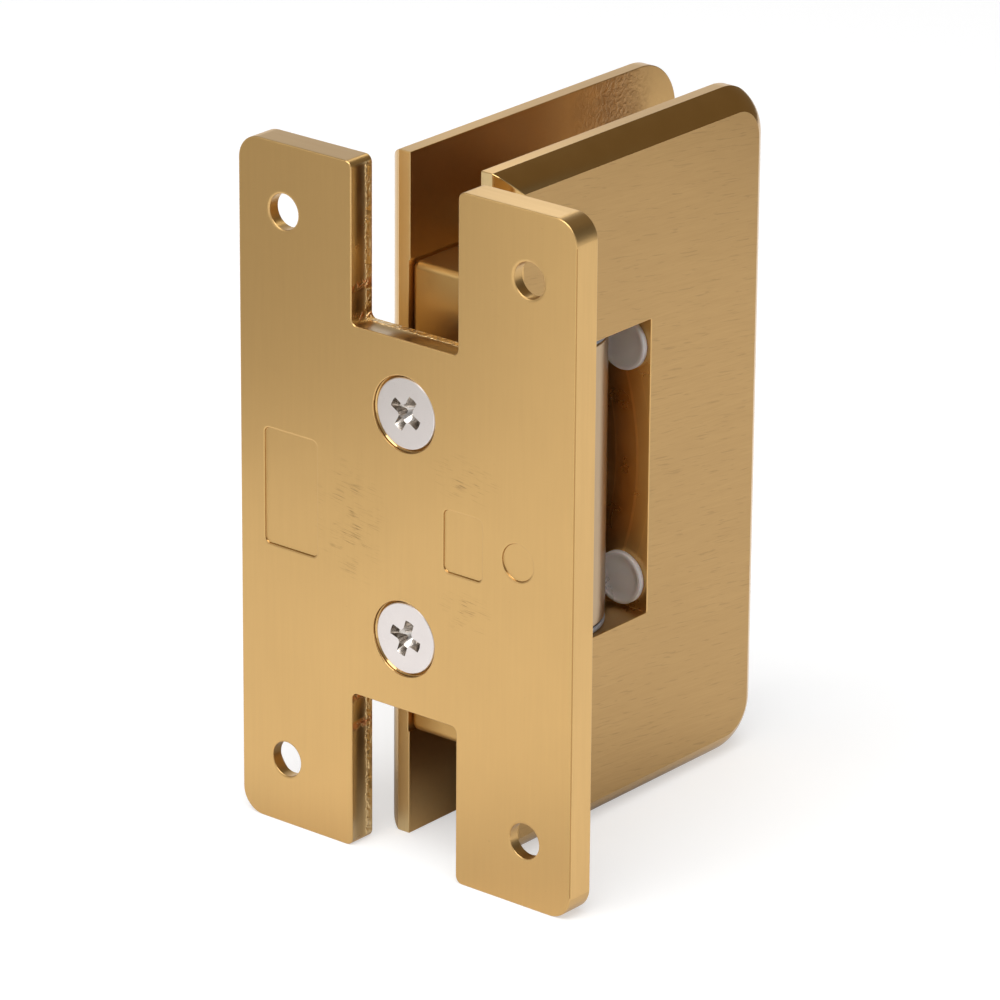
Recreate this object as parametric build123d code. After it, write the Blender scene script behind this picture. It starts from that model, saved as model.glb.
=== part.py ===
from build123d import *
from math import atan2, cos, degrees, hypot, sin, tau
import os

# Frame of the hinge
# The origin is the centre of the wall plate's face that lies on the wall.
# X points away from the wall along the closed glass, Z is up and parallel to the pivot.

# Wall plate
PLATE_WIDTH = 53.0
PLATE_HEIGHT = 90.0
PLATE_THICKNESS = 4.0
PLATE_CORNER_RADIUS = 3.2
PLATE_EDGE = 0.3
NOTCH_WIDTH = 16.8
NOTCH_DEPTH = 20.8
NOTCH_INNER_RADIUS = 0.8
NOTCH_MOUTH_RADIUS = 1.0

# Wall screw holes, countersunk from the door side
WALL_HOLE_SPACING_Y = 38.5
WALL_HOLE_SPACING_Z = 72.5
WALL_HOLE_DIAMETER = 5.2
WALL_SINK_DIAMETER = 9.4

# Bare stamped panels on the wall face of the plate
PANEL_DEPTH = 0.25
PANEL_CORNER_RADIUS = 0.8
LARGE_PANEL_SIZE = (8.6, 15.4)
LARGE_PANEL_Y = 18.3
SMALL_PANEL_SIZE = (6.1, 8.2)
SMALL_PANEL_Y = -9.3
ROUND_PANEL_DIAMETER = 4.9
ROUND_PANEL_Y = -17.9

# Knuckle block, fixed to the wall plate, with a half-round nose about the pivot
PIVOT_X = 24.5
KNUCKLE_RADIUS = 9.4
KNUCKLE_HEIGHT = 37.5
KNUCKLE_EDGE = 0.35

# Cross-head screws that hold the block to the plate
BLOCK_SCREW_SPACING = 29.4
BLOCK_SCREW_DIAMETER = 5.0
BLOCK_SCREW_LENGTH = 16.0
BLOCK_HEAD_DIAMETER = 9.2
BLOCK_HEAD_RIM = 0.35
BLOCK_HEAD_SUNK = 0.3
CROSS_WIDTH = 4.8
CROSS_SLOT = 1.2
CROSS_DEPTH = 2.4
UPPER_CROSS_TURN = 57.5
LOWER_CROSS_TURN = 68.5

# Pivot pin and the two screws that lock it in the block
PIN_DIAMETER = 8.0
PIN_END_RECESS = 0.6
PIN_END_CHAMFER = 0.5
PIN_FLAT_DEPTH = 0.5
LOCK_SCREW_DIAMETER = 6.0
LOCK_SCREW_LENGTH = 10.0
LOCK_SCREW_SPACING = 10.0
LOCK_SCREW_KEY = 3.0
LOCK_FLAT_MARGIN = 1.0

# Clamp on the door glass: the front plate and the housing are one casting
CLAMP_NEAR_X = 7.6
CLAMP_LENGTH = 52.0
CLAMP_HEIGHT = 90.0
CLAMP_THICKNESS = 4.5
CLAMP_FAR_RADIUS = 7.0
GLASS_GAP = 11.0
RIM_HEIGHT = 1.8
BEVEL_WIDTH = 2.8
BEVEL_CROWN = 0.4

# Housing between the clamp plates, and the window through all of them
HOUSING_SETBACK = 0.4
HOUSING_FAR_X = 46.0
HOUSING_HEIGHT = 62.0
HOUSING_EDGE_ROUND = 1.0
SEAT_DEPTH = 0.2
WINDOW_HEIGHT = 39.2
WINDOW_FAR_X = 35.5

# Thrust washers between the block and the ends of the window
WASHER_THICKNESS = 0.75

# Self-centring set in each jaw of the housing
PLUNGER_DIAMETER = 6.6
PLUNGER_LENGTH = 5.0
PLUNGER_GAP = 0.25
PLUNGER_SPIGOT_DIAMETER = 3.0
PLUNGER_SPIGOT_LENGTH = 2.0
PLUG_DIAMETER = 8.0
PLUG_LENGTH = 5.0
PLUG_RECESS = 0.5
PLUG_KEY = 4.0
SPRING_WIRE = 0.9
SPRING_TURNS = 3
SPRING_RUNS_PER_TURN = 12
SPRING_WIRE_SIDES = 6

# Screws that pull the back plate onto the housing
CLAMP_SCREW_DIAMETER = 5.0
CLAMP_SCREW_LENGTH = 16.0
CLAMP_HEAD_DIAMETER = 9.2
CLAMP_HEAD_RIM = 0.25
CLAMP_HEAD_SUNK = 0.2
CLAMP_SCREW_KEY = 3.0
CLAMP_NEAR_SCREW_X = 16.2
CLAMP_FAR_SCREW_X = 41.0
CLAMP_FAR_SCREW_Z = 13.0

# Clear buffer pads stuck to the far wall of the window
PAD_DIAMETER = 7.0
PAD_THICKNESS = 0.8
PAD_RIM_WIDTH = 0.55
PAD_DISH = 0.15
PAD_SIDE_MARGIN = 0.5
PAD_END_MARGIN = 0.4

# Clearances, all on the radius or at one face
RUNNING_FIT = 0.04
SCREW_FIT = 0.05
SINK_FIT = 0.03
SEAT_FIT = 0.1
TAP_RUNOUT = 0.8
KEY_DEPTH_RATIO = 0.6
OVERRUN = 2.0

# Places worked out from the sizes above
KNUCKLE_TOP = KNUCKLE_HEIGHT / 2
WINDOW_TOP = WINDOW_HEIGHT / 2
HOUSING_TOP = HOUSING_HEIGHT / 2
JAW_MIDDLE_Z = (WINDOW_TOP + HOUSING_TOP) / 2
HOUSING_NEAR_X = CLAMP_NEAR_X + HOUSING_SETBACK
GLASS_FACE = GLASS_GAP / 2
OUTER_FACE = GLASS_FACE + CLAMP_THICKNESS
PIN_RADIUS = PIN_DIAMETER / 2
PIN_TOP = HOUSING_TOP - PIN_END_RECESS
LOCK_FLAT_X = PIVOT_X - PIN_RADIUS + PIN_FLAT_DEPTH
PAD_Y = OUTER_FACE - PAD_SIDE_MARGIN - PAD_DIAMETER / 2
PAD_Z = WINDOW_TOP - PAD_END_MARGIN - PAD_DIAMETER / 2
PLUNGER_TIP_X = PIVOT_X + PIN_RADIUS + PLUNGER_GAP
PLUG_TIP_X = HOUSING_FAR_X - PLUG_RECESS - PLUG_LENGTH


def block_between(x0, x1, y0, y1, z0, z1):
    """A box between two corners."""
    middle = Pos((x0 + x1) / 2, (y0 + y1) / 2, (z0 + z1) / 2)
    return middle * Box(x1 - x0, y1 - y0, z1 - z0)


def rod_along_x(diameter, x0, x1, y, z):
    """A round bar parallel to X."""
    return Pos((x0 + x1) / 2, y, z) * Rot(0, 90, 0) * Cylinder(diameter / 2, x1 - x0)


def rod_along_y(diameter, y0, y1, x, z):
    """A round bar parallel to Y."""
    return Pos(x, (y0 + y1) / 2, z) * Rot(90, 0, 0) * Cylinder(diameter / 2, y1 - y0)


def rod_along_z(diameter, z0, z1, x, y):
    """A round bar parallel to Z."""
    return Pos(x, y, (z0 + z1) / 2) * Cylinder(diameter / 2, z1 - z0)


def turned(points):
    """A solid turned about Z from its half outline, a list of (radius, height) points."""
    outline = make_face(Polyline([(r, 0, h) for r, h in points], close=True))
    return revolve(outline, Axis.Z)


def sink_profile(sink_diameter, hole_diameter, depth):
    """A right-angled countersink that opens at height zero, with its hole below it."""
    mouth = sink_diameter / 2
    hole = hole_diameter / 2
    return [
        (0, OVERRUN),
        (mouth, OVERRUN),
        (mouth, 0),
        (hole, hole - mouth),
        (hole, -depth),
        (0, -depth),
    ]


def sink_for(head_diameter, rim, sunk):
    """The countersink's diameter that lets a head lie this far below the surface."""
    return head_diameter + 2 * (rim + sunk + SINK_FIT)


def sunk_screw(diameter, length, head_diameter, rim):
    """A countersunk screw with its head's top at height zero and its shank downwards."""
    head = head_diameter / 2
    shank = diameter / 2
    return turned([
        (0, 0),
        (head, 0),
        (head, -rim),
        (shank, -rim - head + shank),
        (shank, -length),
        (0, -length),
    ])


def cross_recess(turn):
    """The tapered cross of the screwdriver, cut down from height zero."""
    slots = Rectangle(CROSS_WIDTH, CROSS_SLOT) + Rectangle(CROSS_SLOT, CROSS_WIDTH)
    prism = extrude(slots, amount=-CROSS_DEPTH)
    slope = degrees(atan2((CROSS_WIDTH - CROSS_SLOT) / 2, CROSS_DEPTH))
    mouth = Plane.XY.rotated((180, 0, 0)) * Rectangle(CROSS_WIDTH, CROSS_WIDTH)
    point = extrude(mouth, amount=CROSS_DEPTH, taper=slope)
    return Rot(0, 0, turn) * (prism & point)


def hex_recess(across_flats):
    """A hexagon key socket, cut down from height zero."""
    socket = RegularPolygon(across_flats / 2, 6, major_radius=False)
    return extrude(socket, amount=-across_flats * KEY_DEPTH_RATIO)


def plain_grub_screw(diameter, length, key):
    """A headless screw with its socket end at height zero and its tip downwards."""
    body = Pos(0, 0, -length / 2) * Cylinder(diameter / 2, length)
    return body - hex_recess(key)


def facing_wall(x, z):
    """The place of a screw whose head looks towards the wall."""
    return Pos(x, 0, z) * Rot(0, -90, 0)


def make_wall_plate():
    """The notched plate that is screwed to the wall."""
    outline = RectangleRounded(PLATE_WIDTH, PLATE_HEIGHT, PLATE_CORNER_RADIUS)
    notch = RectangleRounded(NOTCH_WIDTH, 2 * NOTCH_DEPTH, NOTCH_INNER_RADIUS)
    for end in (1, -1):
        outline -= Pos(0, end * PLATE_HEIGHT / 2) * notch
    mouths = outline.vertices().filter_by(
        lambda v: abs(abs(v.X) - NOTCH_WIDTH / 2) < 0.01 and abs(abs(v.Y) - PLATE_HEIGHT / 2) < 0.01
    )
    outline = fillet(mouths, NOTCH_MOUTH_RADIUS)
    plate = extrude(Plane.YZ * outline, PLATE_THICKNESS)
    plate = chamfer(plate.faces().filter_by(Axis.X).edges(), PLATE_EDGE)

    sink = turned(sink_profile(WALL_SINK_DIAMETER, WALL_HOLE_DIAMETER, PLATE_THICKNESS + OVERRUN))
    for y in (-WALL_HOLE_SPACING_Y / 2, WALL_HOLE_SPACING_Y / 2):
        for z in (-WALL_HOLE_SPACING_Z / 2, WALL_HOLE_SPACING_Z / 2):
            plate -= Pos(PLATE_THICKNESS, y, z) * Rot(0, 90, 0) * sink

    clear_hole = BLOCK_SCREW_DIAMETER + 2 * SCREW_FIT
    mouth = sink_for(BLOCK_HEAD_DIAMETER, BLOCK_HEAD_RIM, BLOCK_HEAD_SUNK)
    sink = turned(sink_profile(mouth, clear_hole, PLATE_THICKNESS + OVERRUN))
    for z in (-BLOCK_SCREW_SPACING / 2, BLOCK_SCREW_SPACING / 2):
        plate -= facing_wall(0, z) * sink

    panels = Pos(LARGE_PANEL_Y, 0) * RectangleRounded(*LARGE_PANEL_SIZE, PANEL_CORNER_RADIUS)
    panels += Pos(SMALL_PANEL_Y, 0) * RectangleRounded(*SMALL_PANEL_SIZE, PANEL_CORNER_RADIUS)
    panels += Pos(ROUND_PANEL_Y, 0) * Circle(ROUND_PANEL_DIAMETER / 2)
    return plate - extrude(Plane.YZ * panels, PANEL_DEPTH)


def make_knuckle_block():
    """The fixed half of the knuckle, bored for the pin and tapped for its screws."""
    middle = (PLATE_THICKNESS + PIVOT_X) / 2
    plan = Pos(middle, 0) * Rectangle(PIVOT_X - PLATE_THICKNESS, 2 * KNUCKLE_RADIUS)
    plan += Pos(PIVOT_X, 0) * Circle(KNUCKLE_RADIUS)
    block = Pos(0, 0, -KNUCKLE_TOP) * extrude(plan, KNUCKLE_HEIGHT)
    ends = block.faces().filter_by(Axis.Z)
    block = chamfer(ends.edges(), KNUCKLE_EDGE)

    pin_bore = PIN_DIAMETER + 2 * RUNNING_FIT
    block -= rod_along_z(pin_bore, -HOUSING_TOP, HOUSING_TOP, PIVOT_X, 0)
    tapped = BLOCK_SCREW_DIAMETER + 2 * SCREW_FIT
    tapped_end = BLOCK_SCREW_LENGTH + TAP_RUNOUT
    for z in (-BLOCK_SCREW_SPACING / 2, BLOCK_SCREW_SPACING / 2):
        block -= rod_along_x(tapped, 0, tapped_end, 0, z)
    tapped = LOCK_SCREW_DIAMETER + 2 * SCREW_FIT
    for z in (-LOCK_SCREW_SPACING / 2, LOCK_SCREW_SPACING / 2):
        block -= rod_along_x(tapped, 0, PIVOT_X, 0, z)
    return block


def make_block_screw(z, turn):
    """A cross-head screw from the wall face through the plate into the block."""
    screw = sunk_screw(
        BLOCK_SCREW_DIAMETER, BLOCK_SCREW_LENGTH, BLOCK_HEAD_DIAMETER, BLOCK_HEAD_RIM
    )
    screw -= cross_recess(turn)
    return facing_wall(BLOCK_HEAD_SUNK, z) * screw


def make_pivot_pin():
    """The steel pin, with a flat for its lock screws and flats for the plungers."""
    pin = rod_along_z(PIN_DIAMETER, -PIN_TOP, PIN_TOP, PIVOT_X, 0)
    pin = chamfer(pin.edges().filter_by(GeomType.CIRCLE), PIN_END_CHAMFER)
    flat = LOCK_SCREW_SPACING / 2 + LOCK_SCREW_DIAMETER / 2 + LOCK_FLAT_MARGIN
    pin -= block_between(0, LOCK_FLAT_X, -PIN_DIAMETER, PIN_DIAMETER, -flat, flat)
    half = PLUNGER_DIAMETER / 2 + LOCK_FLAT_MARGIN
    cut = block_between(
        PIN_RADIUS - PIN_FLAT_DEPTH, PIN_DIAMETER, -PIN_DIAMETER, PIN_DIAMETER, -half, half
    )
    for z in (-JAW_MIDDLE_Z, JAW_MIDDLE_Z):
        for turn in (-90, 0, 90):
            pin -= Pos(PIVOT_X, 0, z) * Rot(0, 0, turn) * cut
    return pin


def make_lock_screw(z):
    """A headless screw in the block that bears on the flat of the pin."""
    screw = plain_grub_screw(LOCK_SCREW_DIAMETER, LOCK_SCREW_LENGTH, LOCK_SCREW_KEY)
    return facing_wall(LOCK_FLAT_X - LOCK_SCREW_LENGTH, z) * screw


def make_thrust_washer(side):
    """A plastic washer between the block and one end of the window."""
    play = (WINDOW_TOP - KNUCKLE_TOP - WASHER_THICKNESS) / 2
    lowest = KNUCKLE_TOP + play
    washer = rod_along_z(2 * KNUCKLE_RADIUS, lowest, lowest + WASHER_THICKNESS, PIVOT_X, 0)
    bore = PIN_DIAMETER + 4 * RUNNING_FIT
    washer -= rod_along_z(bore, 0, HOUSING_TOP, PIVOT_X, 0)
    return washer if side > 0 else mirror(washer, Plane.XY)


def bevel_section():
    """What a clamp plate's outer edge loses, as (inwards, outwards) points."""
    rise = CLAMP_THICKNESS - RIM_HEIGHT
    slant = hypot(BEVEL_WIDTH, rise)
    crown = (
        BEVEL_WIDTH / 2 - BEVEL_CROWN * rise / slant,
        RIM_HEIGHT + rise / 2 + BEVEL_CROWN * BEVEL_WIDTH / slant,
    )
    above = CLAMP_THICKNESS + OVERRUN
    lines = ThreePointArc((0, RIM_HEIGHT), crown, (BEVEL_WIDTH, CLAMP_THICKNESS))
    lines += Polyline(
        (BEVEL_WIDTH, CLAMP_THICKNESS),
        (BEVEL_WIDTH, above),
        (-OVERRUN, above),
        (-OVERRUN, RIM_HEIGHT),
        (0, RIM_HEIGHT),
    )
    return make_face(lines)


def make_clamp_blank():
    """A clamp plate on XY, its glass face down, crowned all round its outer edge."""
    length = CLAMP_LENGTH
    half = CLAMP_HEIGHT / 2
    radius = CLAMP_FAR_RADIUS
    outline = Pos(length / 2, 0) * Rectangle(length, CLAMP_HEIGHT)
    outline = fillet(outline.vertices().group_by(Axis.X)[-1], radius)
    blank = extrude(outline, CLAMP_THICKNESS)

    section = bevel_section()
    near = extrude(Plane.XZ * section, amount=CLAMP_HEIGHT, both=True)
    far_start = Plane((length, radius - half, 0), x_dir=(-1, 0, 0), z_dir=(0, 1, 0))
    far = extrude(far_start * section, CLAMP_HEIGHT - 2 * radius)
    top_start = Plane((length - radius, half, 0), x_dir=(0, -1, 0), z_dir=(-1, 0, 0))
    top = extrude(top_start * section, length - radius + OVERRUN)
    corner_start = Plane((length, half - radius, 0), x_dir=(-1, 0, 0), z_dir=(0, 1, 0))
    corner_axis = Axis((length - radius, half - radius, 0), (0, 0, 1))
    corner = revolve(corner_start * section, corner_axis, 90)
    blank -= near
    blank -= far
    for cutter in (top, corner):
        blank -= cutter
        blank -= mirror(cutter, Plane.XZ)
    return blank


def front_plate():
    """The clamp blank stood up on the front side of the glass."""
    return Pos(CLAMP_NEAR_X, -GLASS_FACE, 0) * Rot(90, 0, 0) * make_clamp_blank()


def window_cut():
    """The opening for the knuckle, through both clamp plates and the housing."""
    side = OUTER_FACE + OVERRUN
    near = CLAMP_NEAR_X - OVERRUN
    return block_between(near, WINDOW_FAR_X, -side, side, -WINDOW_TOP, WINDOW_TOP)


def clamp_screw_places():
    """The X and Z of each screw that pulls the back plate onto the housing."""
    near = [(CLAMP_NEAR_SCREW_X, JAW_MIDDLE_Z), (CLAMP_NEAR_SCREW_X, -JAW_MIDDLE_Z)]
    far = [(CLAMP_FAR_SCREW_X, CLAMP_FAR_SCREW_Z), (CLAMP_FAR_SCREW_X, -CLAMP_FAR_SCREW_Z)]
    return near + far


def make_housing():
    """The solid block between the plates, with its free edges rounded."""
    seat = GLASS_FACE + SEAT_DEPTH
    housing = block_between(
        HOUSING_NEAR_X, HOUSING_FAR_X, -GLASS_FACE, seat, -HOUSING_TOP, HOUSING_TOP
    )
    upright = housing.edges().filter_by(Axis.Z).group_by(Axis.Y)[-1]
    ends = housing.faces().filter_by(Axis.Z).edges()
    free = ends.filter_by(lambda edge: edge.center().Y > 0.01 - GLASS_FACE)
    return fillet(upright + free, HOUSING_EDGE_ROUND)


def make_front_clamp_body():
    """The front clamp plate and the housing, cast as one and then machined."""
    body = front_plate() + make_housing()
    body -= window_cut()
    pin_bore = PIN_DIAMETER + 2 * RUNNING_FIT
    body -= rod_along_z(pin_bore, -CLAMP_HEIGHT, CLAMP_HEIGHT, PIVOT_X, 0)
    plunger_bore = PLUNGER_DIAMETER + 2 * RUNNING_FIT
    plug_thread = PLUG_DIAMETER + 2 * SCREW_FIT
    mouth = HOUSING_FAR_X + OVERRUN
    for z in (-JAW_MIDDLE_Z, JAW_MIDDLE_Z):
        body -= rod_along_x(plunger_bore, PIVOT_X, mouth, 0, z)
        body -= rod_along_x(plug_thread, PLUG_TIP_X - SCREW_FIT, mouth, 0, z)
    tapped = CLAMP_SCREW_DIAMETER + 2 * SCREW_FIT
    deepest = OUTER_FACE - CLAMP_HEAD_SUNK - CLAMP_SCREW_LENGTH - TAP_RUNOUT
    for x, z in clamp_screw_places():
        body -= rod_along_y(tapped, deepest, OUTER_FACE, x, z)
    return body


def make_back_clamp_plate():
    """The loose clamp plate, a mirror image of the front one, with a shallow seat milled
    into its glass face for the housing, and its screw holes."""
    plate = mirror(front_plate(), Plane.XZ) - window_cut()
    seat_end = HOUSING_FAR_X + SEAT_FIT
    seat_top = HOUSING_TOP + SEAT_FIT
    seat = GLASS_FACE + SEAT_DEPTH
    plate -= block_between(0, seat_end, 0, seat, -seat_top, seat_top)
    mouth = sink_for(CLAMP_HEAD_DIAMETER, CLAMP_HEAD_RIM, CLAMP_HEAD_SUNK)
    hole = CLAMP_SCREW_DIAMETER + 2 * SCREW_FIT
    sink = turned(sink_profile(mouth, hole, CLAMP_THICKNESS + OVERRUN))
    for x, z in clamp_screw_places():
        plate -= Pos(x, OUTER_FACE, z) * Rot(-90, 0, 0) * sink
    return plate


def make_clamp_screw(x, z):
    """A socket-head countersunk screw through the back plate into the housing."""
    screw = sunk_screw(
        CLAMP_SCREW_DIAMETER, CLAMP_SCREW_LENGTH, CLAMP_HEAD_DIAMETER, CLAMP_HEAD_RIM
    )
    screw -= hex_recess(CLAMP_SCREW_KEY)
    return Pos(x, OUTER_FACE - CLAMP_HEAD_SUNK, z) * Rot(-90, 0, 0) * screw


def make_buffer_pad(y, z):
    """A round clear pad with a raised rim, stuck to the far wall of the window."""
    radius = PAD_DIAMETER / 2
    pad = turned([
        (0, 0),
        (radius, 0),
        (radius, PAD_THICKNESS),
        (radius - PAD_RIM_WIDTH, PAD_THICKNESS),
        (radius - PAD_RIM_WIDTH, PAD_THICKNESS - PAD_DISH),
        (0, PAD_THICKNESS - PAD_DISH),
    ])
    return Pos(WINDOW_FAR_X, y, z) * Rot(0, -90, 0) * pad


def make_centring_plunger(z):
    """A flat-ended plunger that faces the pin, with a spigot for its spring."""
    flange = PLUNGER_TIP_X + PLUNGER_LENGTH
    plunger = rod_along_x(PLUNGER_DIAMETER, PLUNGER_TIP_X, flange, 0, z)
    spigot_end = flange + PLUNGER_SPIGOT_LENGTH
    return plunger + rod_along_x(PLUNGER_SPIGOT_DIAMETER, flange, spigot_end, 0, z)


def make_centring_spring(z):
    """The coil spring between the plunger and its plug, wound in short straight runs."""
    start = PLUNGER_TIP_X + PLUNGER_LENGTH + SPRING_WIRE / 2
    travel = PLUG_TIP_X - SPRING_WIRE / 2 - start
    coil_radius = (PLUNGER_DIAMETER - SPRING_WIRE) / 2 - SCREW_FIT
    runs = SPRING_TURNS * SPRING_RUNS_PER_TURN
    turns = [tau * i / SPRING_RUNS_PER_TURN for i in range(runs + 1)]
    path = Polyline([
        (coil_radius * cos(turn), coil_radius * sin(turn), travel * turn / turns[-1])
        for turn in turns
    ])
    wire = RegularPolygon(SPRING_WIRE / 2, SPRING_WIRE_SIDES)
    section = Plane(path @ 0, z_dir=path % 0) * wire
    spring = sweep(section, path=path, transition=Transition.RIGHT)
    return Pos(start, 0, z) * Rot(0, 90, 0) * spring


def make_spring_plug(z):
    """The screw that closes a plunger's bore and loads its spring."""
    plug = plain_grub_screw(PLUG_DIAMETER, PLUG_LENGTH, PLUG_KEY)
    return Pos(HOUSING_FAR_X - PLUG_RECESS, 0, z) * Rot(0, 90, 0) * plug


def make_parts():
    """Every piece of the hinge by its name."""
    parts = {
        "wall_plate": make_wall_plate(),
        "knuckle_block": make_knuckle_block(),
        "pivot_pin": make_pivot_pin(),
        "front_clamp_body": make_front_clamp_body(),
        "back_clamp_plate": make_back_clamp_plate(),
    }
    turns = {"upper": UPPER_CROSS_TURN, "lower": LOWER_CROSS_TURN}
    for name, side in (("upper", 1), ("lower", -1)):
        screw_z = side * BLOCK_SCREW_SPACING / 2
        parts[f"block_screw_{name}"] = make_block_screw(screw_z, turns[name])
        parts[f"pin_lock_screw_{name}"] = make_lock_screw(side * LOCK_SCREW_SPACING / 2)
        parts[f"thrust_washer_{name}"] = make_thrust_washer(side)
        parts[f"centring_plunger_{name}"] = make_centring_plunger(side * JAW_MIDDLE_Z)
        parts[f"centring_spring_{name}"] = make_centring_spring(side * JAW_MIDDLE_Z)
        parts[f"spring_plug_{name}"] = make_spring_plug(side * JAW_MIDDLE_Z)
        near = make_clamp_screw(CLAMP_NEAR_SCREW_X, side * JAW_MIDDLE_Z)
        far = make_clamp_screw(CLAMP_FAR_SCREW_X, side * CLAMP_FAR_SCREW_Z)
        parts[f"clamp_screw_near_{name}"] = near
        parts[f"clamp_screw_far_{name}"] = far
        parts[f"buffer_pad_front_{name}"] = make_buffer_pad(-PAD_Y, side * PAD_Z)
        parts[f"buffer_pad_back_{name}"] = make_buffer_pad(PAD_Y, side * PAD_Z)
    return parts


os.makedirs("parts", exist_ok=True)
for part_name, part_solid in make_parts().items():
    export_step(part_solid, f"parts/{part_name}.step")
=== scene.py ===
"""Looks of a wall-to-glass shower door hinge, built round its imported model.

Every size here is in millimetres until a mesh is made. The frame is the hinge's own: the
origin is the centre of the wall plate's wall face, X runs along the closed glass and Z is up.
"""
import logging
import math
from contextlib import contextmanager
from dataclasses import dataclass
from enum import Enum
from functools import lru_cache
from typing import Callable, Iterator, Sequence

import bmesh
import bpy
from mathutils import Matrix, Vector


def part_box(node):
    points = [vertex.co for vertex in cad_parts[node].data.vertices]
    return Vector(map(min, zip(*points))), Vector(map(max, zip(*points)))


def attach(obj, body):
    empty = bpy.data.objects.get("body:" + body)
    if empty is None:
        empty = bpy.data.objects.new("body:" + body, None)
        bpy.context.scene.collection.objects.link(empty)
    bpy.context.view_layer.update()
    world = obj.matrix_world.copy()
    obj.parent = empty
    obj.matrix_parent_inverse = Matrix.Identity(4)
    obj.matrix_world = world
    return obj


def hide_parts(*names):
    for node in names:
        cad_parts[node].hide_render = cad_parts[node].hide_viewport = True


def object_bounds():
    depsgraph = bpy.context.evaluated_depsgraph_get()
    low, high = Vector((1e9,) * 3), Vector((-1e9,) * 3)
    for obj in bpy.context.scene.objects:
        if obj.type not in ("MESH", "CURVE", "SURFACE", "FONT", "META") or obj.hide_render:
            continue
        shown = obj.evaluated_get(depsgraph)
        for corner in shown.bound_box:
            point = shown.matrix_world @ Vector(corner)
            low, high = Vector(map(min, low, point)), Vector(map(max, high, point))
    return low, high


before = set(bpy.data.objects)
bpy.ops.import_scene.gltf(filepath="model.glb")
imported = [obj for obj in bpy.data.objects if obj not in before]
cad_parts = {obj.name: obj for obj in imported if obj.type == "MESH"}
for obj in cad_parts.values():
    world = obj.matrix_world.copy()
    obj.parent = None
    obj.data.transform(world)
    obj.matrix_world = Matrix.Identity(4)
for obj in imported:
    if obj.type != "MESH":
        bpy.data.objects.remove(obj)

CAD_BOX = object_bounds()
MM = 0.001
NEAR = 0.02
SMOOTH_ANGLE = 19.0
LOG = logging.getLogger("hinge")

Point = tuple[float, float, float]
Colour = tuple[float, float, float]
Rings = Sequence[tuple[float, float]]
Piece = bpy.types.Object
Part = bmesh.types.BMFace | bmesh.types.BMEdge
Node = bpy.types.Node
Socket = bpy.types.NodeSocket
Look = tuple[Socket, Socket, Socket]
WHITE = (1.0, 1.0, 1.0, 1.0)
LEVELS = (("upper", 1), ("lower", -1))


class Body(Enum):
    """The two bodies that the pivot joins."""

    WALL = "wall_side"
    DOOR = "door_side"


class Along(Enum):
    """A direction of the hinge's frame."""

    X = 0
    Y = 1
    Z = 2


class Cut(Enum):
    """How one solid acts on another."""

    AWAY = "DIFFERENCE"
    JOIN = "UNION"
    SHARE = "INTERSECT"


def in_mm(point: Vector) -> Vector:
    """A point of a mesh, in millimetres."""
    return Vector(point) / MM


def in_metres(point: Sequence[float]) -> Vector:
    """A point in millimetres, in metres."""
    return Vector(point) * MM


def box_of(node: str) -> list[Vector]:
    """A node's lowest and highest corners, in millimetres."""
    return [in_mm(corner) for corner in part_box(node)]


def pick_only(*pieces: Piece) -> None:
    """Select these objects and nothing else.

    Args:
        pieces: The objects, the active one first.
    """
    if bpy.context.object and bpy.context.object.mode != "OBJECT":
        bpy.ops.object.mode_set(mode="OBJECT")
    bpy.ops.object.select_all(action="DESELECT")
    for piece in pieces:
        piece.select_set(True)
    if pieces:
        bpy.context.view_layer.objects.active = pieces[0]


def settle(piece: Piece) -> None:
    """Put an object's place and turn into its mesh, with its origin at the frame's."""
    pick_only(piece)
    bpy.ops.object.transform_apply(location=True, rotation=True, scale=True)


def stand(piece: Piece, place: Sequence[float], facing: Sequence[float]) -> None:
    """Put an object in its place, turned, and settle it.

    Args:
        piece: The object.
        place: Where its origin goes, in millimetres.
        facing: The direction that its Z is turned to.
    """
    piece.rotation_mode = "QUATERNION"
    piece.rotation_quaternion = Vector(facing).to_track_quat("Z", "Y")
    piece.location = in_metres(place)
    settle(piece)


@contextmanager
def editing(piece: Piece, action: str = "SELECT") -> Iterator[None]:
    """Hold an object in edit mode.

    Args:
        piece: The object.
        action: SELECT for all of it and DESELECT for none of it.

    Yields:
        Nothing, while the object is edited.
    """
    pick_only(piece)
    bpy.ops.object.mode_set(mode="EDIT")
    bpy.ops.mesh.select_all(action=action)
    yield
    bpy.ops.object.mode_set(mode="OBJECT")


def select_parts(piece: Piece, kind: str, chosen: Callable[[Part], bool]) -> None:
    """Select the parts of an edited mesh that a test picks.

    Args:
        piece: The object.
        kind: FACE or EDGE.
        chosen: Says of a face or an edge whether it is selected.
    """
    bpy.ops.mesh.select_mode(type=kind)
    mesh = bmesh.from_edit_mesh(piece.data)
    for part in mesh.faces if kind == "FACE" else mesh.edges:
        part.select_set(chosen(part))
    bmesh.update_edit_mesh(piece.data)


def apply_step(piece: Piece, kind: str, **settings: object) -> None:
    """Add a modifier and apply it.

    Args:
        piece: The object.
        kind: The modifier's type.
        settings: The values of its properties.
    """
    pick_only(piece)
    step = piece.modifiers.new(kind.lower(), kind)
    for name, value in settings.items():
        setattr(step, name, value)
    bpy.ops.object.modifier_apply(modifier=step.name)


def add_block(name: str, low: Sequence[float], high: Sequence[float]) -> Piece:
    """Add a box between two corners.

    Args:
        name: The object's name.
        low: The lowest corner, in millimetres.
        high: The highest corner, in millimetres.

    Returns:
        The box, with its place in its mesh.
    """
    pick_only()
    middle = (in_metres(low) + in_metres(high)) / 2
    bpy.ops.mesh.primitive_cube_add(size=1, location=middle)
    block = bpy.context.object
    block.name = name
    block.scale = in_metres(high) - in_metres(low)
    settle(block)
    return block


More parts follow.
